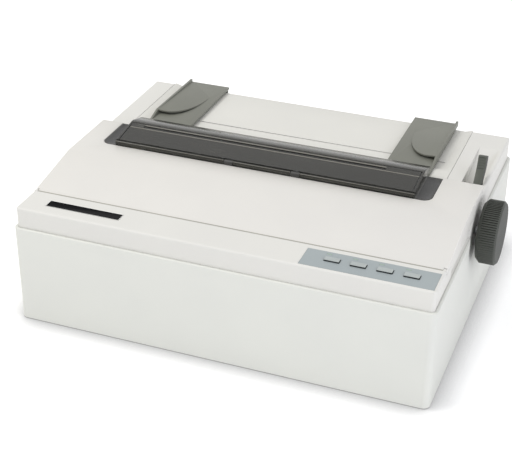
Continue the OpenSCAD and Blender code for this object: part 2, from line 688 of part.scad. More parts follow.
module paper_table() in_frame() color("#E8E7E3") difference() {
    union() {
        difference() {
            block(table_x0, table_x1, cover_y1 + 0.6, table_y1, deck_z - table_skirt, deck_z);
            block(table_x0 + skin, table_x1 - skin, cover_y1 + 0.6 + skin, table_y1 - skin,
                deck_z - table_skirt - over, deck_z - table_recess - skin);
            block(table_x0 + table_tab, table_x1 - table_tab, cover_y1 - over, table_y,
                deck_z - table_skirt - over, deck_z + over);
        }
        // front wall that the sheet slides down
        block(table_x0 + table_tab - skin, table_x1 - table_tab + skin, table_y, table_y + skin,
            deck_z - table_skirt, deck_z - over);
        for (x = [table_x0, table_x0 + table_tab - skin, table_x1 - table_tab, table_x1 - skin])
            block(x, x + skin, cover_y1 + 0.6, table_y + skin, deck_z - table_skirt, deck_z - over);
        // ears on the pins
        for (x = [table_x0, table_x1 - 2*skin]) along_x(x, 2*skin) {
            translate(table_axis) circle(4.6);
            translate([table_axis[0] - 4.6, table_axis[1]]) square([9.2, deck_z - table_axis[1] - over]);
        }
    }
    // bevelled recess
    along_y(bevel_y + table_bevel, case_d) polygon([
        [table_x0 + over/4, deck_z], [table_x0 + table_bevel, deck_z - table_recess],
        [table_x1 - table_bevel, deck_z - table_recess], [table_x1 - over/4, deck_z],
        [table_x1, deck_z + over], [table_x0, deck_z + over]]);
    intersection() {
        along_y(bevel_y - over, table_bevel + 2*over) polygon([
            [table_x0 + over/4, deck_z], [table_x0 + table_bevel, deck_z - table_recess],
            [table_x1 - table_bevel, deck_z - table_recess], [table_x1 - over/4, deck_z],
            [table_x1, deck_z + over], [table_x0, deck_z + over]]);
        along_x(-half_w, case_w) polygon([[bevel_y, deck_z], [bevel_y + table_bevel, deck_z - table_recess],
            [bevel_y + table_bevel + 2, deck_z - table_recess], [bevel_y + table_bevel + 2, deck_z + over],
            [bevel_y, deck_z + over]]);
    }
    // slot that the guides' tongues run in
    block(table_x0 + table_bevel + 3, table_x1 - table_bevel - 3, slot_y - 1, slot_y + 1,
        deck_z - table_skirt, deck_z + over);
    rod_x(table_x0 - over, case_w, table_axis, table_pin_r + run_fit);
}

module table_pins() in_frame() color("#B4B4B4") {
    rod_x(notch_x0 - wall, wall + 2*skin, table_axis, table_pin_r);
    rod_x(notch_x1 - 2*skin, wall + 2*skin, table_axis, table_pin_r);
}

// A right-hand guide with its outer face at x = 0; the left one is its mirror image
module sheet_guide() {
    hinge = [-flap_w, flap_y1];
    hinge_turn = atan2(guide_y1 - flap_y1, flap_w - guide_rib);
    reach = flap_w*sin(hinge_turn) + (flap_y1 - flap_y0)*cos(hinge_turn);
    block(-guide_w, 0, table_y, guide_y1, guide_z, guide_z + guide_t);
    // nose that leads the sheet down to the platen
    along_x(-guide_w, guide_w) polygon([[table_y + over, guide_z], [table_y + over, guide_z + guide_t],
        [guide_y0, guide_z + guide_t - 5], [guide_y0, guide_z - 5], [table_y - 2.2, guide_z - 0.9]]);
    // outer wall, highest beside the flap's front edge
    along_x(-guide_t, guide_t) polygon([[guide_foot, guide_z], [guide_foot, guide_z + guide_t],
        [flap_y0, guide_z + guide_h], [guide_y1, guide_z + guide_h - 2], [guide_y1, guide_z]]);
    // flap that rises towards its curved front edge from a slanting fold line
    intersection() {
        translate([hinge[0], hinge[1], guide_z + guide_t])
            rotate([0, 0, hinge_turn]) rotate([-atan((guide_h - guide_t)/reach), 0, 0])
            translate([-2*flap_w, -2*reach, -flap_t]) cube([5*flap_w, 2*reach, flap_t]);
        translate([0, 0, guide_z + guide_t - flap_t]) linear_extrude(guide_h) {
            translate([-flap_side, flap_y0]) square([flap_side - guide_t/2, guide_y1 - flap_y0]);
            translate([-flap_side, flap_y1]) intersection() {
                scale([(flap_w - flap_side)/(flap_y1 - flap_y0), 1]) circle(flap_y1 - flap_y0, $fn = 90);
                translate([flap_side - flap_w, flap_y0 - flap_y1]) square([flap_w, flap_y1 - flap_y0]);
            }
            translate([-flap_w, flap_y1 - over]) square([flap_w - flap_side + over, guide_y1 - flap_y1]);
        }
    }
    // runners and the tongue in the table's slot
    for (y = [slot_y + 14, guide_y1 - 22])
        block(-guide_w + 6, -6, y, y + 8, deck_z - table_recess + gap, guide_z + over/2);
    block(-guide_w/2 - 9, -guide_w/2 + 9, slot_y - 1 + gap, slot_y + 1 - gap,
        deck_z - table_recess - skin - 1, guide_z + over);
    block(-guide_w/2 - 9, -guide_w/2 + 9, slot_y - 3, slot_y + 3,
        deck_z - table_recess - skin - 2.5, deck_z - table_recess - skin - gap);
    // hook over the table's rear edge
    block(-guide_w, -guide_w + 9, table_y1 + 0.5, table_y1 + 0.5 + guide_t, deck_z - 5, guide_z + over);
}

module sheet_guide_right() in_frame() color("#8C8D84")
    translate([path_x + guide_gap/2 + guide_w - 0.8, 0, 0]) sheet_guide();

module sheet_guide_left() in_frame() color("#8C8D84")
    translate([path_x - guide_gap/2 - guide_w - 0.8, 0, 0]) mirror([1, 0, 0]) sheet_guide();

// ---- paper select lever and pinch rollers ----

// The lever's side view from its axis, as shares of its length: front edge up, then rear edge down
lever_outline = [[-0.068, 0], [-0.03, 0.27], [0.015, 0.42], [0.075, 0.578], [0.128, 0.66], [0.195, 0.743],
    [0.263, 0.818], [0.3, 0.886], [0.323, 0.938], [0.338, 0.985], [0.35, 0.998], [0.365, 0.998],
    [0.465, 0.957], [0.48, 0.942], [0.482, 0.916], [0.45, 0.826], [0.398, 0.758], [0.323, 0.706],
    [0.248, 0.646], [0.188, 0.571], [0.143, 0.495], [0.113, 0.36], [0.068, 0]];

module select_lever() in_frame() color("#4A4D45") difference() {
    union() {
        along_x(lever_x, lever_w) translate(lever_axis) {
            polygon(lever_outline*lever_tip);
            circle(7.5);
        }
        rod_x(frame_x1 - steel_t - 7, lever_x + over - frame_x1 + steel_t + 7, lever_axis, lever_shaft_r);
        rod_x(frame_x1 - steel_t - 6, 4.5, lever_axis, 5.5);
    }
    // ridged thumb pad
    along_x(lever_x + 1.2, lever_w - 2.4) translate(lever_axis) for (i = [0:4])
        translate([0.267 + 0.0165*i, 0.826 + 0.036*i]*lever_tip) rotate(45) square(0.9, center = true);
}

module pinch_frame() in_frame() color("#8A8F8A") {
    rod_x(frame_x0 + steel_t - 1, frame_x1 - frame_x0 - 2*steel_t + 2, pinch_axis, stud_r);
    for (x = [roller_x[0] - 12, roller_x[2] + 10]) along_x(x, 2) link(pinch_axis, pinch_at, 4.8);
    rod_x(roller_x[0] - 12, roller_x[2] - roller_x[0] + 24, pinch_at, 1.8);
}

module pinch_rollers() in_frame() color("#3B3B3B") for (x = roller_x) difference() {
    rod_x(x - roller_w/2, roller_w, pinch_at, pinch_r);
    rod_x(x - roller_w, 2*roller_w, pinch_at, 1.8 + run_fit);
}

// ---- frames, pan and platen ----

module chassis_plate() in_frame() color("#B9BDBD") difference() {
    union() {
        block(frame_x0 - 12, frame_x1 + 12, frame_y0 - 4, frame_y1 + 4, frame_z0, frame_z0 + chassis_t);
        for (y = [frame_y0 - 4, frame_y1 + 4 - chassis_t])
            block(frame_x0 - 12, frame_x1 + 12, y, y + chassis_t, frame_z0, frame_z0 + 9);
        for (x = chassis_post_x, y = [frame_y0 + 20, frame_y1 - 20])
            translate([path_x + x, y, floor_z]) cylinder(r = 6, h = frame_z0 - floor_z + over);
    }
    for (x = chassis_slot_x)
        block(path_x + x - 18, path_x + x + 18, 120, 150, frame_z0 - over, frame_z0 + 4);
}

module frame_side() polygon([[frame_y0, frame_z0 + chassis_t], [frame_y1, frame_z0 + chassis_t],
    [frame_y1, frame_z1 - 6], [frame_y1 - 6, frame_z1], [platen_y - 19, frame_z1],
    [platen_y - 22, platen_z + 4], [frame_y0, platen_z + 4]]);

// A steel cheek with its foot turned to one side
module side_frame(x0, foot_x) difference() {
    union() {
        along_x(x0, steel_t) frame_side();
        block(foot_x, foot_x + 12, frame_y0 + 6, frame_y1 - 6, frame_z0 + chassis_t, frame_z0 + chassis_t + steel_t);
    }
    rod_x(x0 - over, 4, platen_axis, bush_r + run_fit);
    rod_x(x0 - over, 4, pinch_axis, stud_r + run_fit);
    rod_x(x0 - over, 4, bail_axis, bail_r + run_fit);
    rod_x(x0 - over, 4, rod_axis, guide_rod_r - 1.5 + run_fit);
    rod_x(x0 - over, 4, tractor_axis, tractor_journal_r + run_fit);
    rod_x(x0 - over, 4, tractor_rod, tractor_rod_r + run_fit);
}

module side_frame_left() in_frame() color("#C2C6C6") difference() {
    side_frame(frame_x0, frame_x0 - 12 + steel_t);
    rod_x(frame_x0 - over, 4, pinion_axis, 8);
    rod_x(frame_x0 - over, 4, idler_axis, stud_r + run_fit);
    rod_x(frame_x0 - over, 4, link_axis, stud_r + run_fit);
}

module side_frame_right() in_frame() color("#C2C6C6") difference() {
    side_frame(frame_x1 - steel_t, frame_x1 - steel_t);
    rod_x(frame_x1 - steel_t - over, 4, lever_axis, lever_shaft_r + run_fit);
}

module platen_bushes() in_frame() color("#D8CFA8") for (s = [0, 1]) {
    x = s == 0 ? frame_x0 : frame_x1 - steel_t;
    difference() {
        union() {
            rod_x(x, steel_t, platen_axis, bush_r);
            rod_x(s == 0 ? x + steel_t : x - 1.5, 1.5, platen_axis, bush_r + 2);
        }
        rod_x(x - 3, 8, platen_axis, shaft_r + run_fit);
    }
}

module paper_pan() in_frame() color("#7E8284") difference() {
    union() {
        along_x(frame_x0 + 12, frame_x1 - frame_x0 - 26) {
            difference() {
                translate(platen_axis) circle(pan_r + pan_t);
                translate(platen_axis) circle(pan_r);
                translate([0, platen_z - 6]) square([400, 100]);
            }
            polygon([[platen_y + pan_r*0.94, platen_z - 6.5], [platen_y + pan_r*0.94 + pan_t*1.1, platen_z - 6.5],
                [table_y - 0.6, deck_z - table_skirt - 2], [table_y - 0.6 - pan_t*1.2, deck_z - table_skirt - 2]]);
        }
        for (x = [frame_x0 + steel_t, frame_x1 - steel_t - 12.6]) block(x, x + 12.6, platen_y - 6, platen_y - 1,
            platen_z - pan_r - pan_t, platen_z - pan_r - 0.2);
    }
    for (x = roller_x) block(x - roller_w/2 - 3, x + roller_w/2 + 3, platen_y - 2, platen_y + 13,
        platen_z - pan_r - 4, platen_z - 8);
}

module platen() in_frame() color("#2C2C2E") difference() {
    rod_x(path_x - platen_len/2, platen_len, platen_axis, platen_r);
    rod_x(path_x - platen_len, 2*platen_len, platen_axis, shaft_r);
}

module platen_shaft() in_frame() color("#B8B8BA")
    rod_x(gear_x - 2, knob_x1 - knob_web - gear_x + 2, platen_axis, shaft_r);

// Rim with fine grips, chamfered on both sides, and a plain sunk face
module platen_knob() in_frame() color("#4B4E48") difference() {
    intersection() {
        along_x(knob_x, knob_w) translate(platen_axis) polygon([for (i = [0:knob_grips - 1], j = [0:2])
            let (a = (i + [0.15, 0.5, 0.85][j])*360/knob_grips, r = knob_r - [0, 0.8, 0][j]) [r*cos(a), r*sin(a)]]);
        translate([knob_x, platen_y, platen_z]) rotate([0, 90, 0]) rotate_extrude($fn = 96) polygon([
            [0, 0], [knob_r - knob_back, 0], [knob_r, knob_back], [knob_r, knob_w - knob_front],
            [knob_r - knob_front, knob_w], [0, knob_w]]);
    }
    rod_x(knob_x - over, knob_back + over, platen_axis, knob_r - knob_back - knob_rim);
    rod_x(knob_x, knob_w - knob_web, platen_axis, shaft_r);
}

module platen_gear() in_frame() color("#DAD6C6") gear(platen_axis, teeth_platen, 0, gear_x, gear_w, shaft_r, 8);

// ---- paper feed ----

module gear_studs() in_frame() color("#B4B4B4") for (p = [idler_axis, link_axis])
    rod_x(gear_x - 2, frame_x0 + steel_t - gear_x + 2, p, stud_r);

module feed_motor() in_frame() color("#55585C") {
    difference() {
        along_x(frame_x0 + steel_t, 34) translate(pinion_axis)
            round_rect(-motor_side/2, motor_side/2, -motor_side/2, motor_side/2, 5);
        for (k = [1:3]) along_x(frame_x0 + steel_t + k*8, 1) difference() {
            translate(pinion_axis) square(motor_side + 2, center = true);
            translate(pinion_axis) square(motor_side - 2, center = true);
        }
    }
}

module motor_pinion() in_frame() color("#C9B37A") {
    gear(pinion_axis, teeth_pinion, pinion_turn, gear_x, gear_w, 2, 4);
    rod_x(gear_x - 1, frame_x0 + steel_t - gear_x + 0.7, pinion_axis, 2);
}

module idler_gear() in_frame() color("#DAD6C6")
    gear(idler_axis, teeth_idler, idler_turn, gear_x, gear_w, stud_r + run_fit, 5);

module tractor_idler() in_frame() color("#DAD6C6")
    gear(link_axis, teeth_link, link_turn, gear_x, gear_w, stud_r + run_fit, 5);

module tractor_shaft() in_frame() color("#B8B8BA") {
    along_x(frame_x0 + steel_t, frame_x1 - frame_x0 - 2*steel_t) translate(tractor_axis)
        square(tractor_bar, center = true);
    rod_x(gear_x - 1, frame_x0 + steel_t - gear_x + 1, tractor_axis, 3);
    rod_x(frame_x0, steel_t, tractor_axis, tractor_journal_r);
    rod_x(frame_x1 - steel_t, steel_t + 2, tractor_axis, tractor_journal_r);
}

module tractor_gear() in_frame() color("#DAD6C6")
    gear(tractor_axis, teeth_tractor, tractor_turn, gear_x, gear_w, 3, 6);

// Body of one tractor, with a round hole for its sprocket and a bore for its rod
module tractor_body(x) in_frame() color("#3F4346") difference() {
    along_x(x, tractor_w) difference() {
        union() {
            link(tractor_axis + [-8, 0], tractor_axis + [8, 0], 21);
            link(tractor_axis + [8, -3], tractor_rod, 11);
        }
        translate(tractor_axis) circle(sprocket_r + gap);
        translate(tractor_rod) circle(tractor_rod_r + run_fit);
    }
    // groove that the sprocket's pins turn in
    rod_x(x + tractor_w/2 - 1.8, 3.6, tractor_axis, sprocket_r + sprocket_pin + 0.4);
}

module tractor_left() tractor_body(tractor_x[0]);
module tractor_right() tractor_body(tractor_x[1]);

module sprocket(x) in_frame() color("#D8D4C4") difference() {
    union() {
        rod_x(x + gap, tractor_w - 2*gap, tractor_axis, sprocket_r);
        for (k = [0:5]) along_x(x + tractor_w/2 - 1.2, 2.4) translate(tractor_axis) rotate(k*60)
            translate([sprocket_r - 1, -1.2]) square([sprocket_pin + 1, 2.4]);
    }
    along_x(x - over, tractor_w + 2*over) translate(tractor_axis) square(tractor_bar + 2*run_fit, center = true);
}

module sprocket_left() sprocket(tractor_x[0]);
module sprocket_right() sprocket(tractor_x[1]);

module bail() in_frame() color("#A9ACAE") {
    rod_x(frame_x0 + steel_t + 2.5, frame_x1 - frame_x0 - 2*steel_t - 5, bail_at, bail_r);
    for (x = [frame_x0 + steel_t + 3, frame_x1 - steel_t - 5]) along_x(x, 2) link(bail_axis, bail_at, 8);
    rod_x(frame_x0, steel_t + 5.5, bail_axis, bail_r);
    rod_x(frame_x1 - steel_t - 5.5, steel_t + 5.5, bail_axis, bail_r);
}

module bail_rollers() in_frame() color("#3B3B3B") for (x = roller_x) difference() {
    rod_x(x - roller_w/2, roller_w, bail_at, bail_roller_r);
    rod_x(x - roller_w, 2*roller_w, bail_at, bail_r + run_fit);
}

// ---- carriage ----

// The carriage's shaft, and the thinner rod that the tractors slide on
module guide_rods() in_frame() color("#C4C6C8") {
    rod_x(frame_x0 + steel_t, frame_x1 - frame_x0 - 2*steel_t, rod_axis, guide_rod_r);
    rod_x(frame_x0 - 1, frame_x1 - frame_x0 + 2, rod_axis, guide_rod_r - 1.5);
    rod_x(frame_x0 - 1, frame_x1 - frame_x0 + 2, tractor_rod, tractor_rod_r);
}

module carriage_rail() in_frame() color("#B9BDBD") {
    block(frame_x0 + steel_t, frame_x1 - steel_t, frame_y0 + 6, frame_y0 + 14, rail_z - 1.5, rail_z);
    block(frame_x0 + steel_t, frame_x1 - steel_t, frame_y0 + 6, frame_y0 + 7.5, rail_z - 11, rail_z);
}

module carriage() in_frame() color("#4C4F52") translate([head_x, 0, 0]) difference() {
    union() {
        along_x(-25, 50) polygon([[rod_axis[0] - 14, rod_axis[1] - 9], [rod_axis[0] + 14, rod_axis[1] - 9],
            [rod_axis[0] + 18, rod_axis[1] + 6], [rod_axis[0] + 18, platen_z - 8.3],
            [rod_axis[0] - 14, platen_z - 8.3], [rod_axis[0] - 16, platen_z - 13],
            [frame_y0 + 4, platen_z - 13], [frame_y0 + 4, rail_z + gap], [frame_y0 + 14, rail_z + gap],
            [frame_y0 + 16, rail_z + 2], [rod_axis[0] - 14, rail_z + 2]]);
        // clamp that grips the front run of the belt
        block(clamp_at - clamp_w/2, clamp_at + clamp_w/2, belt_y - pulley_r - 4, belt_y - pulley_r + 2.4,
            belt_z - 2, rail_z + 3);
        for (x = [-20, 14]) block(x, x + 6, belt_y - 2, belt_y + 6, platen_z - 14, cartridge_z - gap);
    }
    rod_x(-26, 52, rod_axis, guide_rod_r + run_fit);
    block(clamp_at - clamp_w, clamp_at + clamp_w, belt_y - pulley_r - belt_t - 0.4, belt_y - pulley_r + 0.1,
        belt_z - gap, belt_z + belt_h + gap);
}

module print_head() in_frame() color("#6E7276") translate([head_x, 0, 0]) difference() {
    union() {
        block(-20, 20, platen_y - 62, platen_y - 30, platen_z - 8, platen_z + 6.5);
        along_x(-6, 12) polygon([[platen_y - 31, platen_z - 8], [platen_y - 31, platen_z + 6],
            [platen_y - platen_r - 0.6, platen_z + 3.5], [platen_y - platen_r - 0.6, platen_z - 3.5]]);
    }
    for (i = [0:6]) block(-17.5 + i*5, -14.5 + i*5, platen_y - 62 - over, platen_y - 46, platen_z - 4, platen_z + 8);
}

module ribbon_cartridge() in_frame() color("#333336") translate([head_x, 0, 0]) difference() {
    union() {
        translate([0, 0, cartridge_z]) linear_extrude(cartridge_h)
            round_rect(-56, 56, platen_y - 82, platen_y - 26, 8);
        for (x = [-30, 24]) along_x(x, 6) polygon([
            [platen_y - 28, cartridge_z - 11], [platen_y - 26, cartridge_z + cartridge_h],
            [platen_y - 24, cartridge_z + 4], [platen_y - 20, cartridge_z - 4], [platen_y - 20, cartridge_z - 11]]);
    }
    translate([-36, platen_y - 60, cartridge_z + 2]) cylinder(r = 2 + run_fit, h = cartridge_h);
    translate([0, 0, cartridge_z + cartridge_h - 0.6]) linear_extrude(over)
        round_rect(-10, 50, platen_y - 74, platen_y - 36, 4);
}

module ribbon_knob() in_frame() color("#2F5E8C") translate([head_x - 36, platen_y - 60, 0]) {
    translate([0, 0, cartridge_z + 3]) cylinder(r = 2, h = cartridge_h);
    difference() {
        translate([0, 0, cartridge_z + cartridge_h + gap]) cylinder(r = 8, h = 5);
        for (k = [0:11]) rotate(k*30) translate([8.6, 0, cartridge_z + cartridge_h]) cylinder(r = 1.4, h = 8, $fn = 24);
    }
}

module carriage_motor() in_frame() color("#55585C") translate([motor_x, belt_y, 0]) {
    translate([0, 0, frame_z0 + chassis_t]) linear_extrude(belt_z - 6 - frame_z0 - chassis_t)
        round_rect(-motor_side/2, motor_side/2, -motor_side/2, motor_side/2, 5);
    translate([0, 0, belt_z - 6]) cylinder(r = 9, h = 1.6);
}

module pulley(x) in_frame() color("#C4B27E") translate([x, belt_y, 0]) difference() {
    union() {
        translate([0, 0, belt_z - 0.5]) cylinder(r = pulley_r, h = belt_h + 1);
        for (z = [belt_z - 1.7, belt_z + belt_h + 0.3]) translate([0, 0, z]) cylinder(r = pulley_r + 2, h = 1.4);
        translate([0, 0, belt_z - 4]) cylinder(r = 4.5, h = 3);
    }
    translate([0, 0, belt_z - 5]) cylinder(r = 2.5 + run_fit, h = belt_h + 8);
}

module motor_pulley() {
    pulley(motor_x);
    in_frame() color("#B4B4B4") translate([motor_x, belt_y, belt_z - 4.2]) cylinder(r = 2.5 + run_fit, h = belt_h + 6);
}

module idler_pulley() pulley(post_x);

module idler_post() in_frame() color("#B9BDBD") translate([post_x, belt_y, 0]) {
    translate([0, 0, frame_z0 + chassis_t]) cylinder(r = 7, h = belt_z - 4.2 - frame_z0 - chassis_t);
    translate([0, 0, belt_z - 5]) cylinder(r = 2.5, h = belt_h + 8);
}

module belt_loop(r) {
    for (x = [motor_x, post_x]) translate([x, belt_y]) circle(r);
    translate([motor_x, belt_y - r]) square([post_x - motor_x, 2*r]);
}

module carriage_belt() in_frame() color("#26262A") translate([0, 0, belt_z]) linear_extrude(belt_h) difference() {
    belt_loop(pulley_r + 0.1 + belt_t);
    belt_loop(pulley_r + 0.1);
}

// ---- electrics ----

module main_board() in_frame() color("#3E7A4E") {
    z = floor_z + board_post_h;
    block(-160, 150, 14, 66, z, z + board_t);
    for (x = [-150, 0, 140], y = [24, 60]) translate([x, y, floor_z]) {
        cylinder(r = board_post_r, h = board_post_h + over/2);
        translate([0, 0, board_post_h]) cylinder(r = 3, h = board_t + 2);
    }
    for (i = [0:3]) block(-120 + i*34, -98 + i*34, 30, 44, z + 1.6, z + 5);
    for (i = [0:2]) translate([30 + i*16, 40, z + 1.6]) cylinder(r = 6, h = 16);
    block(90, 132, 22, 34, z + 1.6, z + 12);
    block(-150, -130, 44, 62, z + 1.6, z + 8);
}

module power_supply() in_frame() color("#A9A59B") {
    block(supply_x, supply_x + supply_w, frame_y1 + 8, frame_y1 + 44, floor_z, floor_z + supply_h);
    block(supply_x + 6, supply_x + supply_w - 6, frame_y1 + 5, frame_y1 + 8, floor_z + 8, floor_z + supply_h - 12);
}

module power_inlet() in_frame() color("#2B2B2D") {
    inlet_socket();
    switch_housing();
}

module inlet_socket() difference() {
    union() {
        block(inlet_x - inlet_w/2 + 0.1, inlet_x + inlet_w/2 - 0.1, case_d - 19, case_d + 0.5,
            inlet_z - inlet_h/2 + 0.1, inlet_z + inlet_h/2 - 0.1);
        block(inlet_x - inlet_w/2 - 3, inlet_x + inlet_w/2 + 3, case_d - wall - 2, case_d - wall,
            inlet_z - inlet_h/2 - 3, inlet_z + inlet_h/2 + 3);
    }
    block(inlet_x - 11.5, inlet_x + 11.5, case_d - 16, case_d + over, inlet_z - 7.5, inlet_z + 7.5);
}

// Box behind the wall that carries the rocker's two pivots
module switch_housing() difference() {
    block(switch_x - switch_w/2 - gap - 1.6, switch_x + switch_w/2 + gap + 1.6, case_d - 20, case_d - wall,
        inlet_z - switch_h/2 - 1.6, inlet_z + switch_h/2 + 1.6);
    block(switch_x - switch_w/2 - gap, switch_x + switch_w/2 + gap, case_d - 16, case_d,
        inlet_z - switch_h/2 - gap, inlet_z + switch_h/2 + gap);
    rod_x(switch_x - switch_w, 2*switch_w, rocker_axis, 1.2 + run_fit);
}

// A rocker with a shallow V in its face, tipped to one side
module power_switch() in_frame() color("#202022") {
    rod_x(switch_x - switch_w/2 - gap - 1.2, switch_w + 2*gap + 2.4, rocker_axis, 1.2);
    along_x(switch_x - switch_w/2, switch_w) translate(rocker_axis) rotate(-rocker_tip) intersection() {
        circle(switch_h/2);
        polygon([[-6, -6], [-6, 6], [0, switch_h/2], [7, switch_h/2], [4.6, 0], [7, -switch_h/2],
            [0, -switch_h/2]]);
    }
}

module parallel_port() in_frame() color("#C8CACA") {
    difference() {
        union() {
            block(port_x - port_w/2 + 0.2, port_x + port_w/2 - 0.2, case_d - wall - 12, case_d,
                port_z - port_h/2 + 0.2, port_z + port_h/2 - 0.2);
            block(port_x - port_w/2 - 4, port_x + port_w/2 + 4, case_d - wall - 1.6, case_d - wall,
                port_z - port_h/2 - 2, port_z + port_h/2 + 2);
        }
        block(port_x - port_w/2 + 6, port_x + port_w/2 - 6, case_d - 8, case_d + over, port_z - 4.5, port_z + 4.5);
    }
    block(port_x - port_w/2 + 9, port_x + port_w/2 - 9, case_d - 9, case_d - 3, port_z - 1.6, port_z + 1.6);
    block(port_x - 34, port_x + 64, frame_y1 + 10, case_d - wall - 6, floor_z + board_post_h,
        floor_z + board_post_h + board_t);
    for (x = [port_x - 28, port_x + 58], y = [frame_y1 + 16, case_d - 16])
        translate([x, y, floor_z]) cylinder(r = board_post_r, h = board_post_h + over/2);
    block(port_x - port_w/2 + 4, port_x + port_w/2 - 4, case_d - wall - 12, case_d - wall - 8,
        foot_h + wall + 7, port_z - 3);
}

lower_case();
upper_case();
rubber_feet();
case_screws();
badge_plate();
control_panel();
panel_lamps();
button_1();
button_2();
button_3();
button_4();
front_cover();
cover_pins();
smoked_hood();
hood_pins();
paper_table();
table_pins();
sheet_guide_left();
sheet_guide_right();
select_lever();
pinch_frame();
pinch_rollers();
chassis_plate();
side_frame_left();
side_frame_right();
platen_bushes();
paper_pan();
platen();
platen_shaft();
platen_knob();
platen_gear();
feed_motor();
motor_pinion();
idler_gear();
tractor_idler();
gear_studs();
tractor_shaft();
tractor_gear();
tractor_left();
tractor_right();
sprocket_left();
sprocket_right();
bail();
bail_rollers();
guide_rods();
carriage_rail();
carriage();
print_head();
ribbon_cartridge();
ribbon_knob();
carriage_motor();
motor_pulley();
idler_post();
idler_pulley();
carriage_belt();
main_board();
power_supply();
power_inlet();
power_switch();
parallel_port();
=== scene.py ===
"""Desktop dot matrix printer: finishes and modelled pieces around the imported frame."""
from __future__ import annotations

import logging
import math
from contextlib import contextmanager
from dataclasses import dataclass, field
from enum import Enum
from functools import cache
from typing import Callable, Iterable, Iterator

import bmesh
import bpy
from mathutils import Matrix, Vector

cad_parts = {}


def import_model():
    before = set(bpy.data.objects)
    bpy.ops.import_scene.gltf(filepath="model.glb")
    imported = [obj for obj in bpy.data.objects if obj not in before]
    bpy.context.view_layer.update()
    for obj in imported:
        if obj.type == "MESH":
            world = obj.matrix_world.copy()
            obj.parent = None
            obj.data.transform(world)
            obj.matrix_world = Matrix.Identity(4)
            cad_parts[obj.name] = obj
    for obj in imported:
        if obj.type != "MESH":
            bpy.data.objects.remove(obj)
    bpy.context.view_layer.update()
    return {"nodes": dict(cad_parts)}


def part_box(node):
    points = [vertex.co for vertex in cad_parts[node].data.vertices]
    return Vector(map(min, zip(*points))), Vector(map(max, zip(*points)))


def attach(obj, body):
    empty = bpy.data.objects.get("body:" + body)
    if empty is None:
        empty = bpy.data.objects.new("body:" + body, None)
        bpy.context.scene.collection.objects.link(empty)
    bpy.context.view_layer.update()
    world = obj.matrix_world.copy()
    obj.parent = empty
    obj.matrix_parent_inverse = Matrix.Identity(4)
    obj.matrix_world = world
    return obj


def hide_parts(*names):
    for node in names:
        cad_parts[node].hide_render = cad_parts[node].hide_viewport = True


log = logging.getLogger("printer")

Tree = bpy.types.NodeTree
Node = bpy.types.Node
Socket = bpy.types.NodeSocket
Piece = bpy.types.Object
Face = bmesh.types.BMFace

MM = 0.001
SMOOTH_ANGLE = math.radians(38)     # edges sharper than this stay sharp
BEVEL_ANGLE = 32.0                  # edges that turn more than this, in degrees, are rounded
DISSOLVE_ANGLE = math.radians(0.6)  # faces that turn less than this are one
MERGE_MM = 0.002                    # corners nearer than this are one
EDGE_SLOT = 1                       # the slot of a softened copy's rounded edges
FLAT = 0.99                         # a normal this near to an axis faces it
AO_SAMPLES = 8                      # rays that look for a corner from each point
KEY_COUNT = 4                       # keys, and as many lamps


# ---------------------------------------------------------------- colours and nodes


def linear(hex_colour: str) -> tuple[float, float, float, float]:
    """Turn an sRGB hex colour into linear RGBA.

    Args:
        hex_colour: six hex digits, such as "E6E5E0".

    Returns:
        The linear red, green and blue, with an alpha of 1.
    """
    values = []
    for start in (0, 2, 4):
        part = int(hex_colour[start:start + 2], 16) / 255
        values.append(part / 12.92 if part <= 0.04045 else ((part + 0.055) / 1.055) ** 2.4)
    return (values[0], values[1], values[2], 1.0)


def add_node(
    tree: Tree,
    kind: str,
    place: tuple[float, float],
    settings: dict[str, object] | None = None,
    values: dict[str, object] | None = None,
    links: dict[str | int, Socket] | None = None,
) -> Node:
    """Add one shader node with its settings, socket values and incoming links.

    Args:
        tree: the node tree to add to.
        kind: the node's type name.
        place: where the node sits in the editor.
        settings: attributes of the node, by name.
        values: values of its input sockets, by socket name.
        links: output sockets to link into its inputs, by socket name or number.

    Returns:
        The new node.
    """
    node = tree.nodes.new(kind)
    node.location = place
    for name, value in (settings or {}).items():
        setattr(node, name, value)
    for name, value in (values or {}).items():
        node.inputs[name].default_value = value
    for name, source in (links or {}).items():
        tree.links.new(source, node.inputs[name])
    return node


def per_metre(size_mm: float) -> float:
    """Return the noise scale that gives features of about size_mm."""
    return 1.0 / (size_mm * MM)


# ---------------------------------------------------------------- finishes


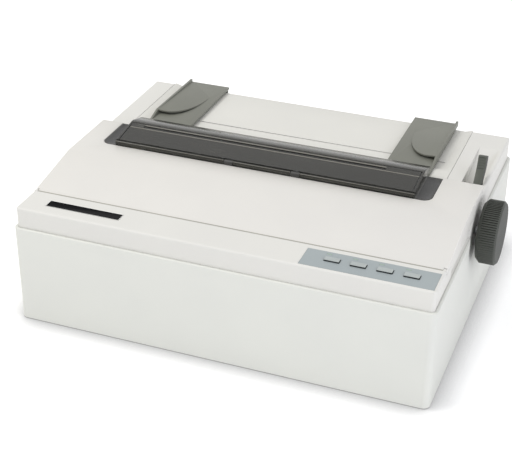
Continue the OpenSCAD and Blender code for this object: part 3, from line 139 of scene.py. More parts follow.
@dataclass(frozen=True)
class Finish:
    """One real finish: what it is made of and how its surface was made.

    Attributes:
        name: the real material and how it was worked.
        colour: its colour, as an sRGB hex value.
        roughness: how widely it spreads a highlight.
        grain_mm: size of its surface pattern.
        grain_depth: height of that pattern, in millimetres.
        mottle_mm: size of the patches in which its colour drifts.
        mottle: how far the colour drifts, as a share.
        edge_mm: how softly its edges turn.
        corner_shade_mm: how far into a corner or joint the painted shade reaches.
        corner_shade: how much that painted shade darkens the colour there, as a share.
        gloss: strength of its reflections.
    """

    name: str
    colour: str
    roughness: float = 0.5
    grain_mm: float = 0.9
    grain_depth: float = 0.06
    mottle_mm: float = 60.0
    mottle: float = 0.03
    edge_mm: float = 0.25
    corner_shade_mm: float = 3.0
    corner_shade: float = 0.45
    gloss: float = 0.5

    def tint(self, tree: Tree, place: Socket, shader: Node) -> None:
        """Let the colour drift slightly over the surface, and darken it as painted shade in corners and
        joints, where ambient occlusion finds them.

        Args:
            tree: the material's node tree.
            place: the coordinates that the pattern is laid out in.
            shader: the material's shader node.
        """
        open_enough = 0.7       # occlusion above which no painted shade is added
        yellowing = 1.6         # blue drifts more than red and green
        noise = add_node(
            tree, "ShaderNodeTexNoise", (-800, 300),
            values={"Scale": per_metre(self.mottle_mm), "Detail": 3.0}, links={"Vector": place})
        red, green, blue, _ = linear(self.colour)
        less, more = 1 - self.mottle, 1 + self.mottle
        ramp = add_node(tree, "ShaderNodeValToRGB", (-600, 300), links={"Fac": noise.outputs["Fac"]})
        dark, light = ramp.color_ramp.elements
        dark.position, light.position = 0.3, 0.7
        dark.color = (red * less, green * less, blue * (1 - yellowing * self.mottle), 1)
        light.color = (min(1, red * more), min(1, green * more), blue, 1)
        # painted shade: ambient occlusion darkens the base colour in corners and joints
        corner = add_node(
            tree, "ShaderNodeAmbientOcclusion", (-600, 550), settings={"samples": AO_SAMPLES},
            values={"Distance": self.corner_shade_mm * MM})
        corner_shade_factor = add_node(
            tree, "ShaderNodeMapRange", (-400, 550),
            values={"From Max": open_enough, "To Min": 1 - self.corner_shade},
            links={"Value": corner.outputs["AO"]})
        corner_shaded = add_node(
            tree, "ShaderNodeVectorMath", (-200, 300), settings={"operation": "SCALE"},
            links={"Vector": ramp.outputs["Color"], "Scale": corner_shade_factor.outputs["Result"]})
        tree.links.new(corner_shaded.outputs["Vector"], shader.inputs["Base Color"])
        shader.inputs["Specular IOR Level"].default_value = self.gloss

    def pattern(self, tree: Tree, kind: str, place: Socket, **values: float) -> Node:
        """Add the surface pattern at its own size."""
        return add_node(
            tree, kind, (-700, -200), values={"Scale": per_metre(self.grain_mm), **values},
            links={"Vector": place})

    def wander(self, tree: Tree, pattern: Socket, shader: Node, down: float, up: float) -> None:
        """Let the roughness follow a pattern, by no more than down and up from its mean."""
        limits = add_node(
            tree, "ShaderNodeMapRange", (-400, 0),
            values={"To Min": self.roughness - down, "To Max": self.roughness + up},
            links={"Value": pattern})
        tree.links.new(limits.outputs["Result"], shader.inputs["Roughness"])

    def relief(self, tree: Tree, height: Socket, shader: Node) -> None:
        """Raise a height pattern on softly rounded edges."""
        edge = add_node(
            tree, "ShaderNodeBevel", (-500, -500), settings={"samples": 4},
            values={"Radius": self.edge_mm * MM})
        bump = add_node(
            tree, "ShaderNodeBump", (-250, -300),
            values={"Strength": 1.0, "Distance": self.grain_depth * MM},
            links={"Height": height, "Normal": edge.outputs["Normal"]})
        tree.links.new(bump.outputs["Normal"], shader.inputs["Normal"])

    def surface(self, tree: Tree, place: Socket, shader: Node) -> Socket:
        """Set how the surface takes the light and return its height; each kind of finish says how."""
        raise NotImplementedError

    def build(self) -> bpy.types.Material:
        """Build the material: its colour, then its surface, then the relief of that surface."""
        material = bpy.data.materials.new(self.name)
        material.use_nodes = True
        tree = material.node_tree
        shader = tree.nodes["Principled BSDF"]
        place = add_node(tree, "ShaderNodeTexCoord", (-1000, 0)).outputs["Object"]
        self.tint(tree, place, shader)
        self.relief(tree, self.surface(tree, place, shader), shader)
        return material


@dataclass(frozen=True)
class MouldedPlastic(Finish):
    """Injection-moulded plastic: a fine spark-eroded grain that breaks up the gloss.

    The real grain is near 0.1 mm, too fine to show, so it is drawn several times coarser.
    """

    ior: float = 1.5

    def surface(self, tree: Tree, place: Socket, shader: Node) -> Socket:
        """Return a pebbled grain that the roughness follows a little, so highlights look dry."""
        grain = self.pattern(tree, "ShaderNodeTexNoise", place, Detail=2.0, Roughness=0.6).outputs["Fac"]
        self.wander(tree, grain, shader, down=0.05, up=0.05)
        shader.inputs["IOR"].default_value = self.ior
        return grain


@dataclass(frozen=True)
class SmokedAcrylic(Finish):
    """Smoked acrylic sheet: glossy, dark, and just clear enough to show shapes behind it."""

    clearness: float = 0.75
    ior: float = 1.49

    def surface(self, tree: Tree, place: Socket, shader: Node) -> Socket:
        """Return faint wipe marks that blur the polished, see-through face here and there."""
        wipes = self.pattern(tree, "ShaderNodeTexNoise", place, Detail=4.0).outputs["Fac"]
        self.wander(tree, wipes, shader, down=0.04, up=0.06)
        shader.inputs["IOR"].default_value = self.ior
        shader.inputs["Transmission Weight"].default_value = self.clearness
        return wipes


@dataclass(frozen=True)
class SheetSteel(Finish):
    """Drawn or rolled metal: bright, with lines along X that the rolls leave.

    The real lines are under 0.1 mm apart, too fine to show, so they are drawn coarser.
    """

    stretch: float = 0.04

    def surface(self, tree: Tree, place: Socket, shader: Node) -> Socket:
        """Return lines that are long across the printer, which draw the highlight out sideways."""
        squeezed = add_node(
            tree, "ShaderNodeMapping", (-850, -200), values={"Scale": (self.stretch, 1.0, 1.0)},
            links={"Vector": place}).outputs["Vector"]
        lines = self.pattern(tree, "ShaderNodeTexNoise", squeezed, Detail=3.0).outputs["Fac"]
        self.wander(tree, lines, shader, down=0.08, up=0.1)
        shader.inputs["Metallic"].default_value = 1.0
        return lines


@dataclass(frozen=True)
class SoftRubber(Finish):
    """Ground or moulded rubber: dull, with a dusty bloom and a grit drawn coarser than it is."""

    ior: float = 1.52

    def surface(self, tree: Tree, place: Socket, shader: Node) -> Socket:
        """Return a fine grit that leaves no highlight, only a soft sheen."""
        shader.inputs["Roughness"].default_value = self.roughness
        shader.inputs["IOR"].default_value = self.ior
        return self.pattern(tree, "ShaderNodeTexVoronoi", place).outputs["Distance"]


@dataclass(frozen=True)
class PaintedMetal(Finish):
    """Baked enamel on steel: smooth with a slight orange peel."""

    coat: float = 0.2

    def surface(self, tree: Tree, place: Socket, shader: Node) -> Socket:
        """Return a soft wave of a few millimetres under a thin clear coat."""
        shader.inputs["Roughness"].default_value = self.roughness
        shader.inputs["Coat Weight"].default_value = self.coat
        return self.pattern(tree, "ShaderNodeTexNoise", place, Detail=1.0).outputs["Fac"]


class Part(Enum):
    """The finishes that the printer's pieces are made in."""

    # warm off-white shells: a soft, slightly chalky sheen, with painted shade darkening them at the seams
    LOWER_SHELL = MouldedPlastic(
        "moulded_abs_lower_shell", "E1E2DD", roughness=0.52, mottle=0.012, corner_shade=0.15)
    UPPER_SHELL = MouldedPlastic("moulded_abs_upper_shell", "E2E1DD", roughness=0.5, mottle=0.012)
    COVER = MouldedPlastic("moulded_abs_cover", "E2E0DC", roughness=0.5, mottle=0.012)
    TABLE = MouldedPlastic("moulded_abs_table", "E2E1DC", roughness=0.5, mottle=0.012)
    # painted highlight: a brighter colour on rounded edges, a bright line where they are wide enough;
    # painted shade: a darker colour on the cover's front edge for the gap's shadow
    SHELL_EDGE = MouldedPlastic("painted_highlight_shell_edge", "F9F8F5", roughness=0.42, corner_shade=0.0)
    JOINT = MouldedPlastic("painted_shade_cover_gap", "A9A7A1", roughness=0.6, mottle=0.06)
    # olive-grey slides and near-black grips: the eye reads them as the parts to touch
    GUIDE = MouldedPlastic(
        "moulded_abs_guide_grey", "797A73", roughness=0.48, mottle=0.05, corner_shade=0.7)
    KNOB = MouldedPlastic(
        "moulded_abs_knob_grip", "41443F", roughness=0.5, corner_shade_mm=1.6, corner_shade=0.6)
    KNOB_GROOVE = MouldedPlastic("shaded_knob_groove", "21231F", roughness=0.6, gloss=0.2)
    KNOB_FACE = MouldedPlastic(
        "moulded_abs_knob_face", "272A26", roughness=0.5, mottle=0.05, gloss=0.25)
    LEVER = MouldedPlastic(
        "moulded_abs_lever", "4E514B", roughness=0.45, mottle=0.05, corner_shade_mm=1.6, corner_shade=0.8)
    LEVER_SIDE = MouldedPlastic("shaded_abs_lever_flank", "232421", roughness=0.5, gloss=0.3)
    # cool printed plate with paler keys; dark skirts make the keys stand clear of it
    PANEL = MouldedPlastic("printed_polycarbonate_panel", "A1AAAE", roughness=0.4, grain_depth=0.02)
    KEY = MouldedPlastic("moulded_abs_key", "B0B7B8", roughness=0.42, grain_depth=0.03, corner_shade=0.1)
    KEY_SKIRT = MouldedPlastic("shaded_key_skirt", "2F3436", roughness=0.6, gloss=0.2)
    LAMP = MouldedPlastic("diffused_lamp_lens", "A3B8A8", roughness=0.25, grain_depth=0.01)
    # deep black field that takes the light only on its thin bright rim
    BADGE = MouldedPlastic("satin_black_badge", "0B0B0D", roughness=0.5, grain_depth=0.01, gloss=0.05)
    # smoked hood: dark and wet-looking; dark colour in its sunk grooves is painted shade and its pale flat
    # lines are painted highlights
    HOOD = SmokedAcrylic(
        "smoked_acrylic", "575650",
        roughness=0.16, grain_mm=25.0, grain_depth=0.02, mottle=0.02, gloss=0.33)
    HOOD_WING = SmokedAcrylic(
        "smoked_acrylic_wing", "3E3E3F",
        roughness=0.2, grain_mm=25.0, grain_depth=0.02, mottle=0.02, gloss=0.3)
    # painted shade: dark colour in the hood's sunk grooves
    HOOD_GROOVE = MouldedPlastic("painted_shade_acrylic_groove", "171716", roughness=0.3, grain_depth=0.01)
    # painted highlight: pale flat lines on the hood stand in for its edge highlights
    HOOD_LINE = MouldedPlastic(
        "painted_highlight_acrylic_line", "76736B", roughness=0.3, grain_depth=0.01, corner_shade=0.1)
    CLIP = MouldedPlastic("moulded_acetal_clip", "3C3B3A", roughness=0.35, grain_depth=0.01)
    RIM = MouldedPlastic(
        "satin_silver_rim", "F2F2F0", roughness=0.3, grain_depth=0.01, corner_shade=0.1)
    # bare metals: rolled sheet looks dull and streaked, ground bars bright, brass warm
    STEEL = SheetSteel("rolled_zinc_steel", "B9BCBC", roughness=0.38, grain_mm=0.8, mottle=0.05)
    BRIGHT_STEEL = SheetSteel("ground_steel_bar", "C6C8CA", roughness=0.22, grain_mm=0.5, mottle=0.02)
    BRASS = SheetSteel("turned_brass", "C6AE6E", roughness=0.3, grain_mm=0.5, stretch=1.0)
    ALUMINIUM = SheetSteel("cast_aluminium", "8E9296", roughness=0.45, grain_mm=1.2, stretch=1.0)
    # rubbers: no shine at all, a dusty bloom instead
    RUBBER = SoftRubber("ground_nitrile_rubber", "2B2B2D", roughness=0.8, grain_mm=0.8, mottle=0.12)
    FOOT = SoftRubber("moulded_rubber_foot", "3A3A3A", roughness=0.85, grain_mm=1.0, mottle=0.12)
    BELT = SoftRubber("neoprene_belt", "26262A", roughness=0.7, grain_mm=1.0, mottle=0.1)
    # acetal gears and bushes: creamy and slightly waxy beside the steel
    GEAR = MouldedPlastic("moulded_acetal_gear", "DAD6C6", roughness=0.35, grain_depth=0.02)
    BUSH = MouldedPlastic("moulded_acetal_bush", "D0C7A0", roughness=0.35, grain_depth=0.02)
    # works inside: dark satin masses, one blue winder and the green board to find them by
    MOTOR = PaintedMetal("black_enamelled_motor", "45484C", roughness=0.42, grain_mm=2.5)
    CARRIAGE = MouldedPlastic("glass_filled_nylon_carriage", "4C4F52", roughness=0.55)
    CARTRIDGE = MouldedPlastic("moulded_styrene_cartridge", "333336", roughness=0.35)
    WINDER = MouldedPlastic("moulded_styrene_winder", "2F5E8C", roughness=0.35)
    TRACTOR = MouldedPlastic("moulded_nylon_tractor", "3F4346", roughness=0.5)
    BOARD = MouldedPlastic("glass_epoxy_board", "3E7A4E", roughness=0.35, grain_depth=0.03)
    SUPPLY = PaintedMetal("folded_steel_supply_case", "A9A59B", roughness=0.45, grain_mm=3.0)
    INLET = MouldedPlastic("moulded_nylon_inlet", "26262A", roughness=0.45)


@cache
def material_of(part: Part) -> bpy.types.Material:
    """Return a finish's material, built the first time it is asked for."""
    return part.value.build()


def dress(piece: Piece, *parts: Part) -> None:
    """Put finishes on a piece's slots: the first on its faces, the others on edges and marked faces."""
    for index, part in enumerate(parts):
        if index < len(piece.data.materials):
            piece.data.materials[index] = material_of(part)
        else:
            piece.data.materials.append(material_of(part))


def mark(piece: Piece, part: Part, wanted: Callable[[Face], bool]) -> None:
    """Give the faces that a test wants another of the piece's finishes."""
    with editing(piece):
        select_faces(piece, wanted)
        assign(piece, part)


# ---------------------------------------------------------------- modelling helpers


def deselect_all() -> None:
    """Leave edit mode and deselect every object."""
    if bpy.context.object is not None and bpy.context.object.mode != "OBJECT":
        bpy.ops.object.mode_set(mode="OBJECT")
    bpy.ops.object.select_all(action="DESELECT")


def pick(piece: Piece) -> None:
    """Make a piece the only selected and the active object."""
    deselect_all()
    piece.select_set(True)
    bpy.context.view_layer.objects.active = piece


@contextmanager
def editing(piece: Piece) -> Iterator[None]:
    """Hold a piece in edit mode with nothing selected."""
    pick(piece)
    bpy.ops.object.mode_set(mode="EDIT")
    bpy.ops.mesh.select_mode(type="VERT")
    bpy.ops.mesh.select_all(action="DESELECT")
    yield
    bpy.ops.object.mode_set(mode="OBJECT")


@contextmanager
def selecting(piece: Piece, kind: str) -> Iterator[bmesh.types.BMesh]:
    """Lend a piece's mesh, in edit mode, to code that selects faces or edges of it."""
    bpy.ops.mesh.select_mode(type=kind)
    bpy.ops.mesh.select_all(action="DESELECT")
    mesh = bmesh.from_edit_mesh(piece.data)
    yield mesh
    mesh.select_flush_mode()
    bmesh.update_edit_mesh(piece.data)


def select_faces(piece: Piece, wanted: Callable[[Face], bool]) -> None:
    """Select the faces that a test wants, in edit mode."""
    with selecting(piece, "FACE") as mesh:
        for face in mesh.faces:
            if wanted(face):
                face.select = True


def assign(piece: Piece, part: Part) -> None:
    """Give the selected faces one of the piece's finishes, in edit mode."""
    piece.active_material_index = piece.data.materials.find(material_of(part).name)
    bpy.ops.object.material_slot_assign()


def lift(height_mm: float) -> None:
    """Move what is selected straight up, in edit mode."""
    bpy.ops.transform.translate(value=(0, 0, height_mm * MM))


def apply_modifier(piece: Piece, name: str, kind: str, **settings: object) -> None:
    """Add one modifier with its settings and apply it at once."""
    pick(piece)
    modifier = piece.modifiers.new(name, kind)
    for key, value in settings.items():
        setattr(modifier, key, value)
    bpy.ops.object.modifier_apply(modifier=modifier.name)


def smooth(piece: Piece) -> None:
    """Shade smooth, keeping edges sharper than SMOOTH_ANGLE."""
    pick(piece)
    bpy.ops.object.shade_smooth_by_angle(angle=SMOOTH_ANGLE)


def cube_between(name: str, low: Vector, high: Vector) -> Piece:
    """Add a cube stretched between two corners, with its place in its mesh.

    Args:
        name: the piece's name.
        low: the lowest corner, in metres.
        high: the highest corner, in metres.

    Returns:
        The new piece, selected and active.
    """
    deselect_all()
    bpy.ops.mesh.primitive_cube_add(size=1.0, location=(low + high) / 2, scale=high - low)
    return placed(name)


def disc_at(name: str, centre: Vector, radius: float, height: float, sides: int = 48) -> Piece:
    """Add an upright cylinder whose base is centred on a point, with its place in its mesh."""
    deselect_all()
    bpy.ops.mesh.primitive_cylinder_add(
        vertices=sides, radius=radius, depth=height, location=centre + Vector((0, 0, height / 2)))
    return placed(name)


def placed(name: str) -> Piece:
    """Name the newest piece and move its place into its mesh."""
    piece = bpy.context.object
    piece.name = name
    bpy.ops.object.transform_apply(location=True, rotation=True, scale=True)
    return piece


def round_uprights(piece: Piece, radius_mm: float, segments: int = 3) -> None:
    """Round a box's four upright edges."""
    with editing(piece):
        with selecting(piece, "EDGE") as mesh:
            for edge in mesh.edges:
                if abs((edge.verts[0].co - edge.verts[1].co).normalized().z) > FLAT:
                    edge.select = True
        bpy.ops.mesh.bevel(offset=radius_mm * MM, segments=segments, affect="EDGES")


def facing(piece: Piece, up: float) -> None:
    """Select the flat end of a piece that faces up (1) or down (-1), in edit mode."""
    mesh = bmesh.from_edit_mesh(piece.data)
    level = up * max(up * vertex.co.z for vertex in mesh.verts)
    near = 0.05 * MM
    select_faces(
        piece,
        lambda face: face.normal.z * up > FLAT and abs(face.calc_center_median().z - level) < near)


def twin_at(piece: Piece, name: str, move: Vector) -> Piece:
    """Copy a piece with a mesh of its own, moved in the mesh."""
    twin = piece.copy()
    twin.data = piece.data.copy()
    twin.name = name
    twin.data.transform(Matrix.Translation(move))
    bpy.context.scene.collection.objects.link(twin)
    return twin


def join_all(name: str, pieces: list[Piece]) -> Piece:
    """Join pieces into the first one and name it."""
    deselect_all()
    for piece in pieces:
        piece.select_set(True)
    bpy.context.view_layer.objects.active = pieces[0]
    bpy.ops.object.join()
    pieces[0].name = name
    return pieces[0]


def soften(
    piece: Piece, width_mm: float, segments: int = 2, angle: float = BEVEL_ANGLE, slot: int = -1
) -> None:
    """Round a piece's sharp edges and shade it smooth.

    Args:
        piece: the piece.
        width_mm: the most that the rounding may be wide. The clamp against overlaps holds all
            of a piece's edges to what its shortest one allows, which can be next to nothing.
        segments: how many steps the rounding has.
        angle: edges that turn more than this, in degrees, are rounded.
        slot: the slot of the new faces; -1 keeps the neighbours' one.
    """
    apply_modifier(
        piece, "rounded_edges", "BEVEL", width=width_mm * MM, segments=segments,
        limit_method="ANGLE", angle_limit=math.radians(angle), use_clamp_overlap=True,
        miter_outer="MITER_ARC", material=slot)
    smooth(piece)


def softened_copy(
    node: str, name: str, width_mm: float, segments: int = 2, angle: float = BEVEL_ANGLE
) -> Piece:
    """Copy a CAD node's mesh, merge its loose triangles and round its edges.

    Args:
        node: the CAD node to copy.
        name: the new piece's name.
        width_mm: the most that the rounding may be wide, clamped as in soften.
        segments: how many steps the rounding has.
        angle: edges that turn more than this, in degrees, are rounded.

    Returns:
        The new piece, which stands for the node. Its rounded edges have EDGE_SLOT.
    """
    piece = bpy.data.objects.new(name, bpy.data.objects[node].data.copy())
    bpy.context.scene.collection.objects.link(piece)
    with editing(piece):
        bpy.ops.mesh.select_all(action="SELECT")
        bpy.ops.mesh.remove_doubles(threshold=MERGE_MM * MM)
        bpy.ops.mesh.dissolve_limited(angle_limit=DISSOLVE_ANGLE)
        # a wall with a row of slots in it is one face too hard to fill, so it is split up
        bpy.ops.mesh.vert_connect_concave()
    if piece.data.has_custom_normals:
        pick(piece)
        bpy.ops.mesh.customdata_custom_splitnormals_clear()
    piece.data.materials.append(None)
    soften(piece, width_mm, segments, angle, slot=EDGE_SLOT)
    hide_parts(node)
    return piece


def settle(piece: Piece, body: str, slot: str, *parts: Part) -> None:
    """Give a finished piece its body and its finishes, and log it.

    Args:
        piece: the finished piece, with its place in its mesh.
        body: the CAD body that it moves with.
        slot: the record's material slot; not used.
        parts: the finishes, by slot.
    """
    dress(piece, *parts)
    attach(piece, body)
    log.info("%s: %d faces on %s", piece.name, len(piece.data.polygons), body)


# ---------------------------------------------------------------- sub-assemblies


@dataclass
class Casework:
    """The two white shells and the rubber feet under them."""

    edge_mm: float = 0.7
    foot_radius_mm: float = 9.0
    foot_edge_mm: float = 0.25
    tread_mm: float = 1.2
    tread_depth_mm: float = 0.5

    def feet(self) -> None:
        """Model one foot with a ring tread and copy it to the four corners."""
        low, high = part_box("rubber_feet")
        radius = self.foot_radius_mm * MM
        first = Vector((low.x + radius, low.y + radius, low.z))
        foot = disc_at("rubber_foot", first, radius, high.z - low.z)
        with editing(foot):
            facing(foot, -1)
            bpy.ops.mesh.inset(thickness=2 * self.tread_mm * MM)
            bpy.ops.mesh.inset(thickness=self.tread_mm * MM)
            lift(self.tread_depth_mm)
        soften(foot, self.foot_edge_mm)
        across = Vector((high.x - low.x - 2 * radius, 0, 0))
        back = Vector((0, high.y - low.y - 2 * radius, 0))
        moves = (across, back, across + back)
        twins = [twin_at(foot, f"foot_{number}", move) for number, move in enumerate(moves)]
        feet = join_all("rubber_feet_moulded", [foot, *twins])
        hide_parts("rubber_feet")
        settle(feet, "case", "rubber_feet", Part.FOOT)

    def build(self) -> None:
        """Round the lower shell's edges, dress both shells and add the feet."""
        lower = softened_copy("lower_case", "lower_case_shell", self.edge_mm)
        settle(lower, "case", "lower_case", Part.LOWER_SHELL, Part.SHELL_EDGE)
        dress(bpy.data.objects["upper_case"], Part.UPPER_SHELL)
        self.feet()


@dataclass(frozen=True)
class Band:
    """One straight band on the hood's sloping face, in millimetres.

    Attributes:
        across: its left and right ends.
        along: its front and rear edges, behind the front of the face.
        sink: how far it moves along the face's normal.
        part: its finish.
    """

    across: tuple[float, float]
    along: tuple[float, float]
    sink: float
    part: Part


@dataclass
class TopCovers:
    """The front cover and the smoked hood on it."""

    edge_mm: float = 0.6
    ear_mm: float = 5.0
    gap_shade_share: float = 0.9        # how much of the cover's rounded front edge gets the painted shade of the gap
    hood_edge_mm: float = 0.45
    hood_skin_mm: float = 1.5       # what lies lower in the hood than this is its underside
    front_mm: float = -24.5         # where the sloping face starts, along Y
    step_mm: float = 8.0            # how far down from the top the sloping face reaches
    face_mm: tuple[float, float] = (-175.6, 138.4)      # the two ends of that face, along X
    rim_mm: float = 1.3
    rim_depth_mm: float = 0.35
    # lip groove; lower line; crest groove and line; rear groove; the two ends; lip line. Grooves carry
    # painted shade, lines are painted highlights
    bands: tuple[Band, ...] = (
        Band((-176, 139), (-1.2, 1.0), -0.9, Part.HOOD_GROOVE),
        Band((-172, 135), (25.9, 27.1), 0.0, Part.HOOD_LINE),
        Band((-158, 100.6), (28.6, 31.4), -0.7, Part.HOOD_GROOVE),
        Band((-158, 100.6), (31.9, 33.3), 0.0, Part.HOOD_LINE),
        Band((-172, 135), (34.4, 35.6), -0.3, Part.HOOD_GROOVE),
        Band((135.0, 136.2), (1.4, 35.0), -0.5, Part.HOOD_GROOVE),
        Band((-173.4, -172.2), (1.4, 35.0), -0.5, Part.HOOD_GROOVE),
        Band((-176, 139), (-2.3, -1.7), 0.0, Part.HOOD_LINE),
    )

    def cut(self, hood: Piece, band: Band) -> None:
        """Cut one band into the hood's sloping face, give it its finish and sink it.

        Args:
            hood: the hood.
            band: the band's place, depth and finish.
        """
        _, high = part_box("smoked_hood")
        slope = 0.75
        left, right = (x * MM for x in band.across)
        front, rear = ((self.front_mm + y) * MM for y in band.along)
        planes = [((x, 0, 0), (1, 0, 0)) for x in (left, right)]
        planes += [((0, y, 0), (0, 1, 0)) for y in (front, rear)]

        def inside(face: Face) -> bool:
            """Tell whether a face lies in the band."""
            centre = face.calc_center_median()
            return (left < centre.x < right and front < centre.y < rear
                    and face.normal.z > slope and centre.z > high.z - self.step_mm * MM)

        with editing(hood):
            for place, normal in planes:
                bpy.ops.mesh.select_all(action="SELECT")
                bpy.ops.mesh.bisect(plane_co=place, plane_no=normal)
            select_faces(hood, inside)
            assign(hood, band.part)
            if band.sink:
                bpy.ops.mesh.extrude_region_shrink_fatten(
                    TRANSFORM_OT_shrink_fatten={"value": band.sink * MM})

    def rims(self, hood: Piece) -> None:
        """Leave a thin raised rim round each flat wing of the hood.

        Args:
            hood: the hood, before any band is cut into it.
        """
        low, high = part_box("smoked_hood")
        bottom, top = low.z + self.hood_skin_mm * MM, high.z - self.step_mm * MM
        left, right = (x * MM for x in self.face_mm)
        level = 0.999

        def on_wing(face: Face) -> bool:
            """Tell whether a face is the flat top of a wing."""
            centre = face.calc_center_median()
            return face.normal.z > level and bottom < centre.z < top and not left < centre.x < right

        with editing(hood):
            select_faces(hood, on_wing)
            bpy.ops.mesh.inset(thickness=self.rim_mm * MM, use_boundary=True)
            lift(-self.rim_depth_mm)
            assign(hood, Part.HOOD_WING)

    def cover(self) -> None:
        """Build the front cover, with painted shade for the gap along its front edge between its hinge
        ears.
        """
        cover = softened_copy("front_cover", "front_cover_shell", self.edge_mm)
        settle(cover, "cover", "front_cover", Part.COVER, Part.SHELL_EDGE, Part.JOINT)
        low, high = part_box("front_cover")
        left, right = low.x + self.ear_mm * MM, high.x - self.ear_mm * MM
        front = min(vertex.co.y for vertex in cover.data.vertices if left < vertex.co.x < right)
        front += self.gap_shade_share * self.edge_mm * MM

        def in_gap_shade(face: Face) -> bool:
            """Tell whether a face is on the front edge."""
            centre = face.calc_center_median()
            return centre.y < front and left < centre.x < right

        # painted shade: a darker colour on the cover's front edge stands in for the shadow in the gap
        mark(cover, Part.JOINT, in_gap_shade)

    def build(self) -> None:
        """Build the cover and the hood."""
        self.cover()
        hood = softened_copy("smoked_hood", "smoked_hood_sheet", self.hood_edge_mm)
        settle(hood, "hood", "smoked_hood",
               Part.HOOD, Part.HOOD, Part.HOOD_GROOVE, Part.HOOD_LINE, Part.HOOD_WING)
        self.rims(hood)
        for band in self.bands:
            self.cut(hood, band)
        smooth(hood)
        dress(bpy.data.objects["hood_pins"], Part.CLIP)


@dataclass
class RearTable:
    """The paper table and its two sheet guides."""

    edge_mm: float = 0.6
    guide_edge_mm: float = 0.5

    def build(self) -> None:
        """Build the table and both guides."""
        table = softened_copy("paper_table", "paper_table_panel", self.edge_mm)
        settle(table, "table", "paper_table", Part.TABLE, Part.SHELL_EDGE)
        for side in ("left", "right"):
            guide = softened_copy(f"sheet_guide_{side}", f"guide_{side}_moulding", self.guide_edge_mm)
            settle(guide, f"guide_{side}", f"sheet_guide_{side}", Part.GUIDE, Part.GUIDE)


